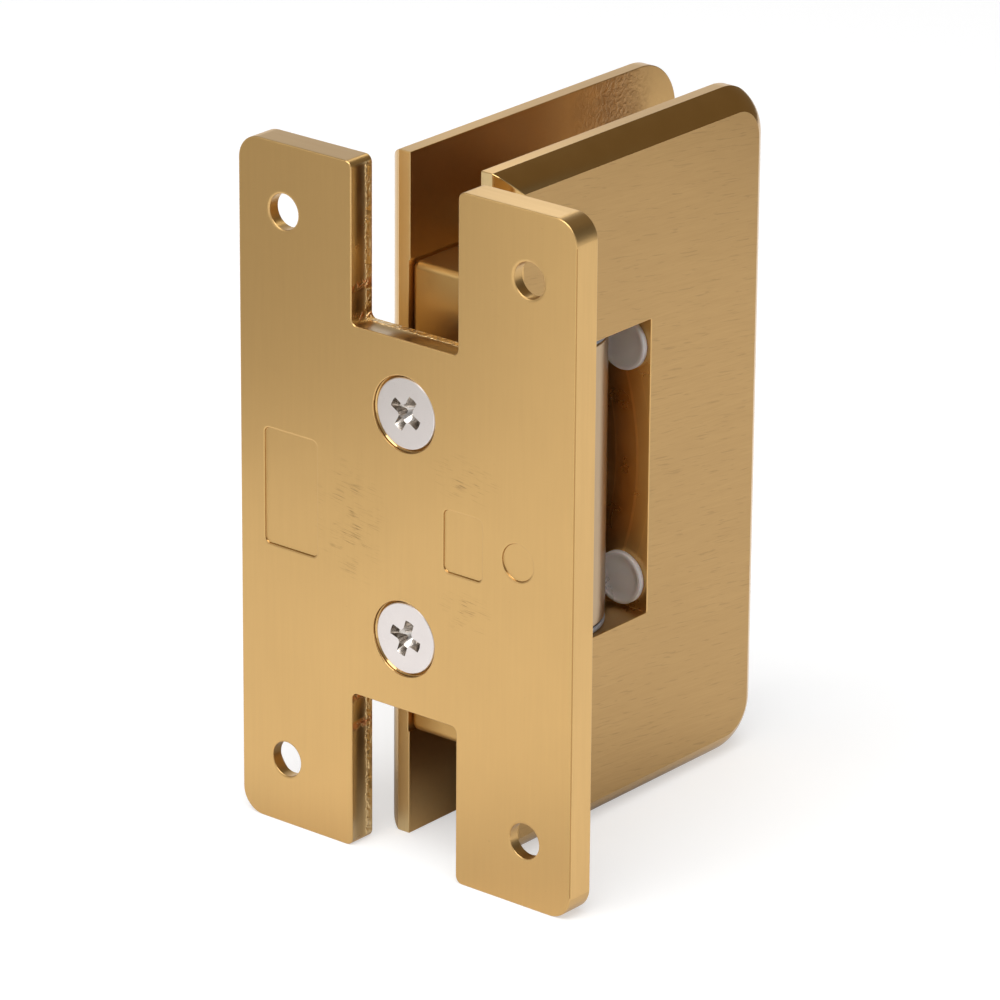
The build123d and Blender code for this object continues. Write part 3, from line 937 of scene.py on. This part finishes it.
@dataclass
class WallPlate:
    """The notched plate on the wall, with its bare stamped panels."""

    corner_radius: float = 3.2
    edge_round: float = 0.18
    notch_width: float = 16.8
    notch_depth: float = 20.8
    notch_inner_radius: float = 0.8
    notch_mouth_radius: float = 1.0
    hole_spacing: tuple[float, float] = (38.5, 72.5)
    hole_radius: float = 2.3
    hole_flare: float = 0.45
    hole_drop: float = 0.16
    sink_radius: float = 4.7
    screw_spacing: float = 29.4
    screw_hole_radius: float = 2.55
    screw_sink_radius: float = 5.28
    seat_mouth: float = 4.9
    seat_roll: float = 0.1
    panel_steps: tuple[tuple[float, float], ...] = (
        (0.14, 0.02), (0.08, 0.04), (0.03, 0.06), (0.02, 0.07), (0.05, 0.05), (0.12, 0.01)
    )
    panel_corner: float = 0.8
    large_panel: tuple[float, float, float] = (18.3, 8.6, 15.4)
    small_panel: tuple[float, float, float] = (-9.3, 6.1, 8.2)
    round_panel: tuple[float, float] = (-17.9, 4.9)

    def __post_init__(self) -> None:
        """Read the plate's box from the frame."""
        self.low, self.high = box_of("wall_plate")

    def build(self) -> None:
        """Build the plate and give it its finishes."""
        plate = add_block("hinge_wall_plate", self.low, self.high)
        bevel_chosen(plate, self.corner_radius, 18, lambda a, b: is_along(a, b, Along.X))
        self.cut_notches(plate)
        soften(plate, self.edge_round, 6)
        self.cut_holes(plate)
        self.stamp_panels(plate)
        hand_over(plate, PLATE_FINISHES, Body.WALL, "wall_plate", self.finish_of)

    def cut_notches(self, plate: Piece) -> None:
        """Cut the upper and the lower notch, with round inner corners and mouths.

        Args:
            plate: The plate.
        """
        half, top = self.notch_width / 2, self.high.z
        for side in (1, -1):
            floor = side * (top - self.notch_depth)
            ends = sorted((floor, side * (top + 2)))
            tool = add_block("notch_tool", (-2, -half, ends[0]), (self.high.x + 2, half, ends[1]))
            bevel_chosen(
                tool, self.notch_inner_radius, 6,
                lambda a, b, z=floor: is_along(a, b, Along.X) and abs(a.z - z) < NEAR,
            )
            combine(plate, tool)
        bevel_chosen(
            plate, self.notch_mouth_radius, 8,
            lambda a, b: is_along(a, b, Along.X)
            and abs(abs(a.y) - half) < NEAR and abs(abs(a.z) - top) < NEAR,
        )

    def cut_holes(self, plate: Piece) -> None:
        """Cut the wall screws' holes and the seats of the block's screws.

        Args:
            plate: The plate.
        """
        thick, radius = self.high.x, self.hole_radius
        bore = rolled(radius, self.hole_flare, self.hole_drop) + [(radius, thick + 2)]
        sink = [(self.sink_radius + 1.0, -1.0), (radius, self.sink_radius - radius)]
        wide, tall = (spacing / 2 for spacing in self.hole_spacing)
        for y in (-wide, wide):
            for z in (-tall, tall):
                combine(plate, add_turned("bore_tool", bore, (0, y, z), (1, 0, 0)))
                combine(plate, add_turned("sink_tool", sink, (thick, y, z), (-1, 0, 0)))
        mouth, sink, hole = self.seat_mouth, self.screw_sink_radius, self.screw_hole_radius
        seat = rolled(mouth, self.seat_roll * 1.5, self.seat_roll)
        seat += [(mouth, sink - mouth), (hole, sink - hole), (hole, thick + 2)]
        for z in (-self.screw_spacing / 2, self.screw_spacing / 2):
            combine(plate, add_turned("seat_tool", seat, (0, 0, z), (1, 0, 0), 96))

    def stamp_panels(self, plate: Piece) -> None:
        """Press the shallow bare panels into the wall face, with soft edges.

        Args:
            plate: The plate.
        """
        outer = sum(inwards for inwards, _ in self.panel_steps) / 2
        for y, width, height in (self.large_panel, self.small_panel):
            low = (-1, y - width / 2 - outer, -height / 2 - outer)
            high = (0, y + width / 2 + outer, height / 2 + outer)
            tool = add_block("panel_tool", low, high)
            radius = self.panel_corner + outer
            bevel_chosen(tool, radius, 8, lambda a, b: is_along(a, b, Along.X))
            inset_face(tool, Vector((1, 0, 0)), self.panel_steps)
            combine(plate, tool)
        y, diameter = self.round_panel
        disc = [(diameter / 2 + outer, 0), (diameter / 2 + outer, 1)]
        tool = add_turned("panel_tool", disc, (-1, y, 0), (1, 0, 0), 48)
        inset_face(tool, Vector((1, 0, 0)), self.panel_steps)
        combine(plate, tool)

    def finish_of(self, centre: Vector, normal: Vector) -> Finish:
        """Say which finish a face of the plate has.

        Args:
            centre: The face's centre, in millimetres.
            normal: The face's normal.

        Returns:
            Its finish.
        """
        rim = self.edge_round * 1.2
        if rim < centre.x < self.high.x - rim and abs(centre.y) < self.notch_width / 2 + 0.1:
            if abs(centre.z) > self.high.z - self.notch_depth - 0.1:
                return SAWN_NOTCH
        # The panels' steep edge walls take the darker brass, painted shade.
        if 0.02 < centre.x < 0.24 and abs(centre.z) < self.large_panel[2] and abs(normal.x) < 0.8:
            return STAMPED_EDGE_SHADED
        # The sides take a lighter copy of the brass, painted light.
        if abs(normal.y) > 0.9 and abs(centre.y) > self.high.y - NEAR:
            return PLATE_SIDE_LIT
        # The arms' top ends take a darker copy of the brass, painted shade.
        if abs(normal.z) > 0.9 and abs(centre.z) > self.high.z - NEAR:
            return PLATE_END_SHADED
        seat = math.hypot(centre.y, abs(centre.z) - self.screw_spacing / 2)
        in_seat = seat < self.screw_sink_radius + self.seat_roll and centre.x > 0.005
        return POLISHED_SEAT if in_seat else SATIN_PLATE


@dataclass
class BlockScrews:
    """The two bright cross-head screws that hold the knuckle block to the plate."""

    spacing: float = 29.4
    sunk: float = 0.3
    head_radius: float = 4.6
    head_edge: float = 0.35
    shank_radius: float = 2.5
    length: float = 16.0
    cross_width: float = 4.8
    wing: float = 1.35
    cross_depth: float = 2.4
    wing_round: float = 0.5
    fine_round: float = 0.07
    point_chamfer: float = 0.6
    turns: tuple[float, float] = (30.0, 18.0)

    def build(self) -> None:
        """Build both screws."""
        for (name, side), turn in zip(LEVELS, self.turns):
            z = side * self.spacing / 2
            hand_over(
                self.screw(f"cross_head_screw_{name}", z, turn), (BRIGHT_SCREW, SCREW_CROSS_SHADED),
                Body.WALL, f"block_screw_{name}",
                lambda centre, normal, z=z: self.finish_of(centre, z),
            )

    def screw(self, name: str, z: float, turn: float) -> Piece:
        """Make one screw, its head towards the wall.

        Args:
            name: Its name.
            z: How high it sits.
            turn: How far its cross is turned, in degrees.

        Returns:
            The screw.
        """
        head, edge, shank = self.head_radius, self.head_edge, self.shank_radius
        end, point = self.length, self.point_chamfer
        rings = [
            (head - edge * 0.6, 0.0), (head - edge * 0.28, edge * 0.08),
            (head - edge * 0.08, edge * 0.28), (head, edge * 0.6), (head, edge),
            (shank, edge + head - shank), (shank, end - point), (shank - point, end),
        ]
        screw = add_turned(name, rings, (self.sunk, 0, z), (1, 0, 0), 96)
        combine(screw, self.cross_tool(z, turn))
        soften(screw, self.fine_round, 2, 40)
        return screw

    def cross_tool(self, z: float, turn: float) -> Piece:
        """Make the tapered cross of the driver, as a tool to cut with.

        Args:
            z: How high its screw sits.
            turn: How far it is turned, in degrees.

        Returns:
            The tool.
        """
        half, wing, depth = self.cross_width / 2, self.wing / 2, self.cross_depth
        tool = add_block("cross_tool", (-1, -half, -wing), (depth, half, wing))
        combine(tool, add_block("wing_tool", (-1, -wing, -half), (depth, wing, half)), Cut.JOIN)
        bevel_chosen(
            tool, self.wing_round, 5,
            lambda a, b: is_along(a, b, Along.X) and max(abs(a.y), abs(a.z)) < wing + NEAR,
        )
        rings = [(half + 0.4, -1.0), (half, 0.0), (half * 0.78, depth * 0.45), (0.5, depth)]
        combine(tool, add_turned("point_tool", rings, (0, 0, 0), (1, 0, 0), 48), Cut.SHARE)
        tool.rotation_mode = "XYZ"
        tool.rotation_euler = (math.radians(turn), 0, 0)
        tool.location = in_metres((self.sunk, 0, z))
        settle(tool)
        return tool

    def finish_of(self, centre: Vector, z: float) -> Finish:
        """Say which finish a face of one screw has.

        Args:
            centre: The face's centre, in millimetres.
            z: How high the screw sits.

        Returns:
            The smoother finish in the cross, whose darker colour is painted shade in the recess,
            and the bright one elsewhere.
        """
        inside = math.hypot(centre.y, centre.z - z) < self.cross_width / 2
        deep = self.sunk + 0.1 < centre.x < self.sunk + self.cross_depth + NEAR
        return SCREW_CROSS_SHADED if inside and deep else BRIGHT_SCREW


@dataclass
class Knuckle:
    """The fixed block with its half-round nose, its bores and its washers."""

    pivot_x: float = 24.5
    edge: float = 0.35
    pin_bore: float = 4.04
    screw_spacing: float = 29.4
    tapped_radius: float = 2.55
    tapped_end: float = 16.8
    lock_spacing: float = 10.0
    lock_radius: float = 3.05
    washer_edge: float = 0.15

    def build(self) -> None:
        """Build the block and both washers."""
        low, high = box_of("knuckle_block")
        block = add_block("hinge_knuckle_block", low, high)
        bevel_chosen(
            block, high.x - self.pivot_x, 40,
            lambda a, b: is_along(a, b, Along.Z) and abs(a.x - high.x) < NEAR,
        )
        clean(block)
        soften(block, self.edge, 4)
        top, start = high.z + 1, low.x - 1
        drill(block, self.pin_bore, (self.pivot_x, 0, -top), (self.pivot_x, 0, top))
        for side in (1, -1):
            z = side * self.screw_spacing / 2
            drill(block, self.tapped_radius, (start, 0, z), (self.tapped_end, 0, z))
            z = side * self.lock_spacing / 2
            drill(block, self.lock_radius, (start, 0, z), (self.pivot_x, 0, z))
        hand_over(block, [KNUCKLE_BRASS], Body.WALL, "knuckle_block")
        for name, _ in LEVELS:
            self.washer(f"thrust_washer_{name}")

    def washer(self, node: str) -> None:
        """Make one thrust washer, with soft edges.

        Args:
            node: The node that it stands for.
        """
        low, high = box_of(node)
        radius, edge, thick = (high.y - low.y) / 2, self.washer_edge, high.z - low.z
        rings = [
            (radius - edge, 0.0), (radius - edge * 0.3, edge * 0.3), (radius, edge),
            (radius, thick - edge), (radius - edge * 0.3, thick - edge * 0.3),
            (radius - edge, thick),
        ]
        washer = add_turned(f"hinge_{node}", rings, (self.pivot_x, 0, low.z), (0, 0, 1), 96)
        ends = (self.pivot_x, 0, low.z - 1), (self.pivot_x, 0, high.z + 1)
        drill(washer, self.pin_bore + 0.04, *ends)
        hand_over(washer, [GREY_PLASTIC], Body.WALL, node, smooth=50)


@dataclass
class GlassClamp:
    """The two crowned clamp plates, the housing between them and their screws."""

    glass_face: float = 5.5
    thickness: float = 4.5
    far_radius: float = 7.0
    rim_height: float = 1.8
    bevel_width: float = 2.8
    bevel_crown: float = 0.4
    bevel_steps: int = 8
    edge_round: float = 0.16
    housing_setback: float = 0.4
    housing_far: float = 46.0
    housing_top: float = 31.0
    housing_round: float = 1.0
    seat_depth: float = 0.2
    seat_fit: float = 0.1
    window_top: float = 19.6
    window_far: float = 35.5
    pivot_x: float = 24.5
    pin_bore: float = 4.04
    plunger_bore: float = 3.34
    plug_bore: float = 4.05
    plug_start: float = 40.45
    screw_bore: float = 2.55
    screw_deepest: float = -7.0
    near_screw_x: float = 16.2
    far_screw_x: float = 41.0
    far_screw_z: float = 13.0
    head_radius: float = 4.6
    head_rim: float = 0.25
    head_sunk: float = 0.2
    sink_fit: float = 0.03
    screw_length: float = 16.0
    point_chamfer: float = 0.6
    key: float = 3.0
    key_depth: float = 1.8
    key_point: float = 2.5
    window_edge: float = 0.12
    mitre_near: float = 3.0
    mitre_far: float = 7.2

    def __post_init__(self) -> None:
        """Read the plates' box from the frame."""
        low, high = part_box("back_clamp_plate")
        self.near, self.far, self.top = low.x / MM, high.x / MM, high.z / MM
        self.jaw_middle = (self.window_top + self.housing_top) / 2
        self.outer_face = self.glass_face + self.thickness
        self.screw_places = (
            ("near_upper", self.near_screw_x, self.jaw_middle),
            ("near_lower", self.near_screw_x, -self.jaw_middle),
            ("far_upper", self.far_screw_x, self.far_screw_z),
            ("far_lower", self.far_screw_x, -self.far_screw_z),
        )

    def build(self) -> None:
        """Build the front body, the back plate and the four screws."""
        self.build_front()
        self.build_back()
        self.build_screws()

    def crown_steps(self) -> list[tuple[float, float]]:
        """Work out how far each strip of the crowned bevel goes.

        Returns:
            How far each goes inwards and outwards, in millimetres.
        """
        rise = self.thickness - self.rim_height
        slant = math.hypot(self.bevel_width, rise)
        points = []
        for i in range(self.bevel_steps + 1):
            share = i / self.bevel_steps
            crown = self.bevel_crown * 4 * share * (1 - share)
            inwards = share * self.bevel_width - crown * rise / slant
            outwards = share * rise + crown * self.bevel_width / slant
            points.append((inwards, outwards))
        return [(b[0] - a[0], b[1] - a[1]) for a, b in zip(points, points[1:])]

    def crowned_plate(self, name: str, side: int) -> Piece:
        """Make a clamp plate with a crowned, mitred bevel all round.

        Args:
            name: The object's name.
            side: -1 for the front plate and 1 for the back one.

        Returns:
            The plate.
        """
        faces = sorted((side * self.glass_face, side * (self.glass_face + self.rim_height)))
        plate = add_block(name, (self.near, faces[0], -self.top), (self.far, faces[1], self.top))
        bevel_chosen(
            plate, self.far_radius, 24,
            lambda a, b: is_along(a, b, Along.Y) and abs(a.x - self.far) < NEAR,
        )
        inset_face(plate, Vector((0, side, 0)), self.crown_steps())
        return plate

    def cut_window(self, piece: Piece) -> None:
        """Cut the window through one half of the clamp.

        Args:
            piece: The half.
        """
        side, top = self.outer_face + 2, self.window_top
        ends = (self.near - 2, -side, -top), (self.window_far, side, top)
        combine(piece, add_block("window_tool", *ends))

    def build_front(self) -> None:
        """Build the front plate with its housing."""
        body = self.crowned_plate("hinge_front_clamp", -1)
        start, top = self.near + self.housing_setback, self.housing_top
        low = (start, -self.glass_face - 1, -top)
        housing = add_block(
            "housing", low, (self.housing_far, self.glass_face + self.seat_depth, top)
        )
        bevel_chosen(
            housing, self.housing_round, 6,
            lambda a, b: is_along(a, b, Along.Z) and a.y > 0
            or is_along(a, b, Along.X) or is_along(a, b, Along.Y),
        )
        combine(body, housing, Cut.JOIN)
        self.cut_window(body)
        clean(body)
        soften(body, self.edge_round, 3, 32)
        end = top + 2
        drill(body, self.pin_bore, (self.pivot_x, 0, -end), (self.pivot_x, 0, end), 64)
        for z in (-self.jaw_middle, self.jaw_middle):
            end = (self.housing_far + 2, 0, z)
            drill(body, self.plunger_bore, (self.pivot_x, 0, z), end)
            drill(body, self.plug_bore, (self.plug_start, 0, z), end)
        for _, x, z in self.screw_places:
            drill(body, self.screw_bore, (x, self.screw_deepest, z), (x, self.outer_face, z))
        self.hand_over_half(body, "front_clamp_body")

    def build_back(self) -> None:
        """Build the back plate with its seat and its countersunk holes."""
        plate = self.crowned_plate("hinge_back_clamp", 1)
        self.cut_window(plate)
        seat_top = self.housing_top + self.seat_fit
        low = (self.near - 2, 0, -seat_top)
        high = (self.housing_far + self.seat_fit, self.glass_face + self.seat_depth, seat_top)
        combine(plate, add_block("seat_tool", low, high))
        clean(plate)
        soften(plate, self.edge_round, 3, 32)
        mouth = self.head_radius + self.head_rim + self.head_sunk + self.sink_fit
        hole = self.screw_bore
        rings = [(mouth + 1.0, -1.0), (hole, mouth - hole), (hole, self.thickness + 2)]
        for _, x, z in self.screw_places:
            combine(plate, add_turned("sink_tool", rings, (x, self.outer_face, z), (0, -1, 0)))
        self.hand_over_half(plate, "back_clamp_plate")

    def hand_over_half(self, piece: Piece, node: str) -> None:
        """Hand over one half of the clamp, which stands for its node."""
        hand_over(piece, CLAMP_FINISHES, Body.DOOR, node, self.finish_of)

    def build_screws(self) -> None:
        """Build the four countersunk key screws."""
        head, rim, shank = self.head_radius, self.head_rim, self.screw_bore - 0.05
        end, point = self.screw_length, self.point_chamfer
        rings = [
            (head - 0.2, 0.0), (head - 0.06, 0.06), (head, 0.2), (head, rim),
            (shank, rim + head - shank), (shank, end - point), (shank - point, end),
        ]
        key = self.key / math.sqrt(3)
        socket = [(key, -1), (key, self.key_depth), (0.3, self.key_point)]
        for name, x, z in self.screw_places:
            place = (x, self.outer_face - self.head_sunk, z)
            screw = add_turned(f"clamp_key_screw_{name}", rings, place, (0, -1, 0), 72)
            combine(screw, add_turned("key_tool", socket, place, (0, -1, 0), 6))
            node = f"clamp_screw_{name}"
            hand_over(screw, [PLATED_SCREW], Body.DOOR, node)

    def finish_of(self, centre: Vector, normal: Vector) -> Finish:
        """Say which finish a face of the clamp has.

        Args:
            centre: The face's centre, in millimetres.
            normal: The face's normal.

        Returns:
            Its finish.
        """
        x, y, z = centre.x, abs(centre.y), abs(centre.z)
        # The outer faces take a darker copy of the brass, painted shade.
        if y > self.outer_face - 0.01:
            return BRUSHED_CLAMP_SHADED
        # The near end faces take a paler copy of the brass, painted light.
        if normal.x < -0.9 and x < self.near + NEAR:
            return CLAMP_END_LIT
        edge, mitre = self.window_edge, self.mitre_near
        # The window's walls take a lighter copy of the brass, painted light.
        if z < self.window_top + edge and self.near + 0.2 < x < self.window_far + edge:
            if abs(normal.x) > 0.5 or abs(normal.z) > 0.5:
                return MILLED_WINDOW_LIT
        outline = x < self.near + mitre or x > self.far - self.mitre_far or z > self.top - mitre
        if y > self.glass_face + self.rim_height - 0.05 and outline:
            return POLISHED_BEVEL
        # The housing between the plates takes the darker brass, painted shade.
        if y < self.glass_face - 0.05:
            return CAST_HOUSING_SHADED
        return CAST_INSIDE if abs(normal.y) > 0.9 else SATIN_RIM


@dataclass
class BufferPads:
    """The four clear stick-on pads on the window's far wall."""

    rim_width: float = 0.55
    dish: float = 0.15

    def build(self) -> None:
        """Build the pads."""
        for side in ("front", "back"):
            for level, _ in LEVELS:
                self.pad(f"buffer_pad_{side}_{level}")

    def pad(self, node: str) -> None:
        """Make one round pad with a raised rim and a soft dished middle.

        Args:
            node: The node that it stands for.
        """
        low, high = box_of(node)
        radius, thick = (high.y - low.y) / 2, high.x - low.x
        inner = radius - self.rim_width
        rings = [
            (radius - 0.1, 0.0), (radius, 0.1), (radius, thick - 0.18),
            (radius - 0.05, thick - 0.06), (radius - 0.17, thick),
            (inner + 0.1, thick), (inner - 0.02, thick - 0.05),
            (inner - 0.2, thick - self.dish), (inner * 0.6, thick - self.dish * 1.15),
            (0.2, thick - self.dish * 1.3),
        ]
        centre = (low + high) / 2
        pad = add_turned(f"clear_{node}", rings, (high.x, centre.y, centre.z), (-1, 0, 0))
        hand_over(pad, [CLEAR_PLASTIC], Body.DOOR, node, smooth=60)


@dataclass
class CentringSets:
    """The springs of the self-centring sets, and the finish of what lies beside them."""

    wire: float = 0.9
    turns: int = 3
    fit: float = 0.01
    steps: int = 32

    def build(self) -> None:
        """Build both springs and dress the plungers, plugs, lock screws and pin."""
        for name, _ in LEVELS:
            self.spring(name)
            for node in ("centring_plunger", "spring_plug", "pin_lock_screw"):
                dress_node(f"{node}_{name}", DARK_STEEL)
        dress_node("pivot_pin", PIN_STEEL)

    def spring(self, name: str) -> None:
        """Make one coil of round wire with closed ends.

        Args:
            name: The level that it stands at.
        """
        node = f"centring_spring_{name}"
        low, high = box_of(node)
        centre, wire = (low + high) / 2, self.wire / 2
        coil = (high.y - low.y) / 2 - wire - self.fit
        pick_only()
        bpy.ops.mesh.primitive_circle_add(
            vertices=12, radius=wire * MM, fill_type="NGON",
            location=in_metres((0, coil, 0)), rotation=(0, math.pi / 2, 0),
        )
        spring = bpy.context.object
        spring.name = f"centring_coil_{name}"
        settle(spring)
        steps = self.steps * self.turns
        apply_step(
            spring, "SCREW", axis="X", angle=math.tau * self.turns,
            screw_offset=(high.x - low.x - 2 * (wire + self.fit)) * MM,
            steps=steps, render_steps=steps, use_merge_vertices=True,
        )
        spring.location = in_metres((low.x + wire + self.fit, centre.y, centre.z))
        settle(spring)
        hand_over(spring, [SPRING_STEEL], Body.DOOR, node, smooth=40)


@dataclass(frozen=True)
class Card:
    """A card beside the hinge that only its gloss sees."""

    name: str
    centre: Point
    facing: Point
    width: float
    height: float
    light: Colour


@dataclass(frozen=True)
class Lamp:
    """A square lamp: its place in degrees, its distance, its width and its watts."""

    name: str
    azimuth: float
    elevation: float
    away: float
    side: float
    power: float


LEFT_CARD = Card("left_card", (-80, 100, 15), (0.75, -0.6, 0.2), 90, 100, (0.54, 0.52, 0.48))
RIGHT_CARD = Card("right_card", (198, 5, 142), (-0.773, 0.634, 0), 260, 260, (0.2, 0.152, 0.09))
RIM_CARD = Card("rim_card", (45, 18, 77), (-0.773, -0.634, 0), 22, 28, (2.1, 2.05, 1.75))
OVERHEAD_LAMP = Lamp("overhead", -60, 70, 900, 900, 8.5)
LEFT_LAMP = Lamp("left", -110, 35, 900, 500, 2.0)


@dataclass
class Studio:
    """The floor, the light and the camera."""

    azimuth: float = -50.629
    elevation: float = 21.352
    roll: float = 0.419
    distance: float = 800.0
    focal_pixels: float = 6457.5
    image_side: float = 1000.0
    sensor: float = 36.0
    target: Point = (18.42, 0.0, -1.87)
    floor_reach: float = 3000.0
    floor_glow: float = 0.5
    floor_paper: float = 0.56
    # Soft spots of painted shadow on the floor, seen only in reflections: centre, reach and
    # strength.
    painted_floor_shadows: tuple[tuple[Point, Point, float], ...] = (
        ((30.0, 20.0, -45.0), (42.0, 60.0, 400.0), 1.0),
        ((-14.0, -12.0, -45.0), (28.0, 30.0, 400.0), 0.45),
    )
    backdrop_light: float = 0.75
    ceiling_light: float = 0.35
    dark_side: Point = (0.83, -0.31, 0.47)
    dark_reach: tuple[float, float] = (0.62, 0.84)
    dark_share: float = 0.3
    rear_side: Point = (0.75, 0.5, 0.42)
    rear_light: float = 0.35
    lamps: tuple[Lamp, ...] = (OVERHEAD_LAMP, LEFT_LAMP)
    cards: tuple[Card, ...] = (LEFT_CARD, RIGHT_CARD, RIM_CARD)

    def build(self) -> None:
        """Build everything round the object."""
        self.place_camera()
        self.lay_floor()
        self.light_world()
        for lamp in self.lamps:
            self.hang_lamp(lamp)
        for card in self.cards:
            self.stand_card(card)
        bpy.context.scene.view_settings.view_transform = "Standard"

    def direction(self, azimuth: float, elevation: float) -> Vector:
        """The direction from the object towards an azimuth and elevation in degrees."""
        a, e = math.radians(azimuth), math.radians(elevation)
        return Vector((math.sin(a) * math.cos(e), -math.cos(a) * math.cos(e), math.sin(e)))

    def place_camera(self) -> None:
        """Stand the camera where the photograph was taken from."""
        back = self.direction(self.azimuth, self.elevation)
        right = Vector((0, 0, 1)).cross(back).normalized()
        up = back.cross(right)
        turn = math.radians(self.roll)
        side = right * math.cos(turn) + up * math.sin(turn)
        rise = up * math.cos(turn) - right * math.sin(turn)
        data = bpy.data.cameras.new("camera")
        data.sensor_width = self.sensor
        data.lens = self.focal_pixels * self.sensor / self.image_side
        data.clip_start, data.clip_end = 0.01, 100
        camera = bpy.data.objects.new("camera", data)
        bpy.context.scene.collection.objects.link(camera)
        place = Matrix.Translation(in_metres(self.target) + back * self.distance * MM)
        camera.matrix_world = place @ Matrix((side, rise, back)).transposed().to_4x4()
        bpy.context.scene.camera = camera

    def add_sheet(self, name: str, size: float, height: float = 0.0) -> tuple[Piece, Bench]:
        """Add a flat sheet for the floor or a card, with a material of its own.

        Args:
            name: The sheet's name and its material's.
            size: How long its sides are, in millimetres.
            height: How high it lies, in millimetres.

        Returns:
            The sheet and the nodes of its material.
        """
        pick_only()
        bpy.ops.mesh.primitive_plane_add(size=size * MM, location=(0, 0, height * MM))
        sheet = bpy.context.object
        sheet.name = name
        material = bpy.data.materials.new(name)
        sheet.data.materials.append(material)
        return sheet, Bench(material)

    def lay_floor(self) -> None:
        """Lay a white floor under the hinge, which keeps its soft shadow, with painted shadows near
        the hinge that only reflections see.
        """
        floor, bench = self.add_sheet("studio_floor", 2 * self.floor_reach, CAD_BOX[0].z / MM)
        settle(floor)
        paths = bench.add("LightPath").outputs
        seen = bench.sum_of(
            "MAXIMUM", paths["Is Camera Ray"], paths["Is Glossy Ray"],
            paths["Is Transmission Ray"],
        )
        # Painted shadow: the glow that gloss and transmission see is dimmed in soft spots near the
        # hinge; the camera sees it whole.
        dim = bench.sum_of("MAXIMUM", *(
            bench.sum_of("MULTIPLY", bench.near_point(centre, reach), strength)
            for centre, reach, strength in self.painted_floor_shadows
        ))
        share = bench.sum_of("SUBTRACT", paths["Is Camera Ray"], dim)
        strength = bench.sum_of("MULTIPLY", bench.spread(share, -1, 0, 0, 1), self.floor_glow)
        glow = bench.add("Emission", {"Color": WHITE, "Strength": strength})
        faint = bench.add("BsdfDiffuse", {"Color": (*even(self.floor_paper), 1)})
        paper = bench.add("BsdfDiffuse", {"Color": (0.8, 0.8, 0.8, 1)})
        both = bench.add("AddShader", {0: faint.outputs[0], 1: glow.outputs[0]})
        bench.show(
            bench.add("MixShader", {0: seen, 1: paper.outputs[0], 2: both.outputs[0]})
        )

    def stand_card(self, card: Card) -> None:
        """Stand one card, upright or leaning, with its face towards the hinge.

        Args:
            card: The card.
        """
        sheet, bench = self.add_sheet(card.name, 1.0)
        sheet.scale = (card.width, card.height, 1)
        stand(sheet, card.centre, card.facing)
        bench.show(bench.add("Emission", {"Color": (*card.light, 1)}))
        for ray in ("camera", "diffuse", "shadow", "transmission"):
            setattr(sheet, f"visible_{ray}", False)

    def light_world(self) -> None:
        """A pale backdrop with a dark side to the right, white to the camera."""
        world = bpy.context.scene.world = bpy.data.worlds.new("studio_world")
        bench = Bench(world)
        where = bench.add("TexCoord").outputs["Generated"]

        def towards(way: Point, *spans: float) -> Socket:
            """Map how nearly the world's direction is one way, softly.

            Args:
                way: The direction.
                spans: The two spans, as in Bench.spread.

            Returns:
                The mapped value.
            """
            inputs = {0: where, 1: Vector(way).normalized()}
            share = bench.add("VectorMath", inputs, operation="DOT_PRODUCT").outputs["Value"]
            return bench.spread(share, *spans, "SMOOTHSTEP")

        level = towards((0, 0, 1), 0.1, 0.5, self.backdrop_light, self.ceiling_light)
        dark = towards(self.dark_side, *self.dark_reach, 1.0, self.dark_share)
        glow = towards(self.rear_side, 0.8, 0.97, 0.0, self.rear_light)
        sky = bench.tree.nodes["Background"]
        strength = bench.sum_of("ADD", bench.sum_of("MULTIPLY", level, dark), glow)
        bench.feed(sky, {"Color": WHITE, "Strength": strength})
        white = bench.add("Background", {"Color": WHITE})
        seen = bench.add("LightPath").outputs["Is Camera Ray"]
        inputs = {0: seen, 1: sky.outputs[0], 2: white.outputs[0]}
        bench.show(bench.add("MixShader", inputs), "World Output")

    def hang_lamp(self, lamp: Lamp) -> None:
        """Hang one lamp that looks at the hinge.

        Args:
            lamp: The lamp.
        """
        data = bpy.data.lights.new(lamp.name, "AREA")
        data.shape = "SQUARE"
        data.size = lamp.side * MM
        data.energy = lamp.power
        box = bpy.data.objects.new(lamp.name, data)
        bpy.context.scene.collection.objects.link(box)
        way = self.direction(lamp.azimuth, lamp.elevation)
        box.location = way * lamp.away * MM
        box.rotation_mode = "QUATERNION"
        box.rotation_quaternion = way.to_track_quat("Z", "Y")


def main() -> None:
    """Build the surroundings and every sub-assembly, in order."""
    logging.basicConfig(level=logging.INFO, format="%(name)s: %(message)s")
    for part in (Studio, WallPlate, BlockScrews, Knuckle, GlassClamp, BufferPads, CentringSets):
        part().build()


if __name__ == "__main__":
    main()
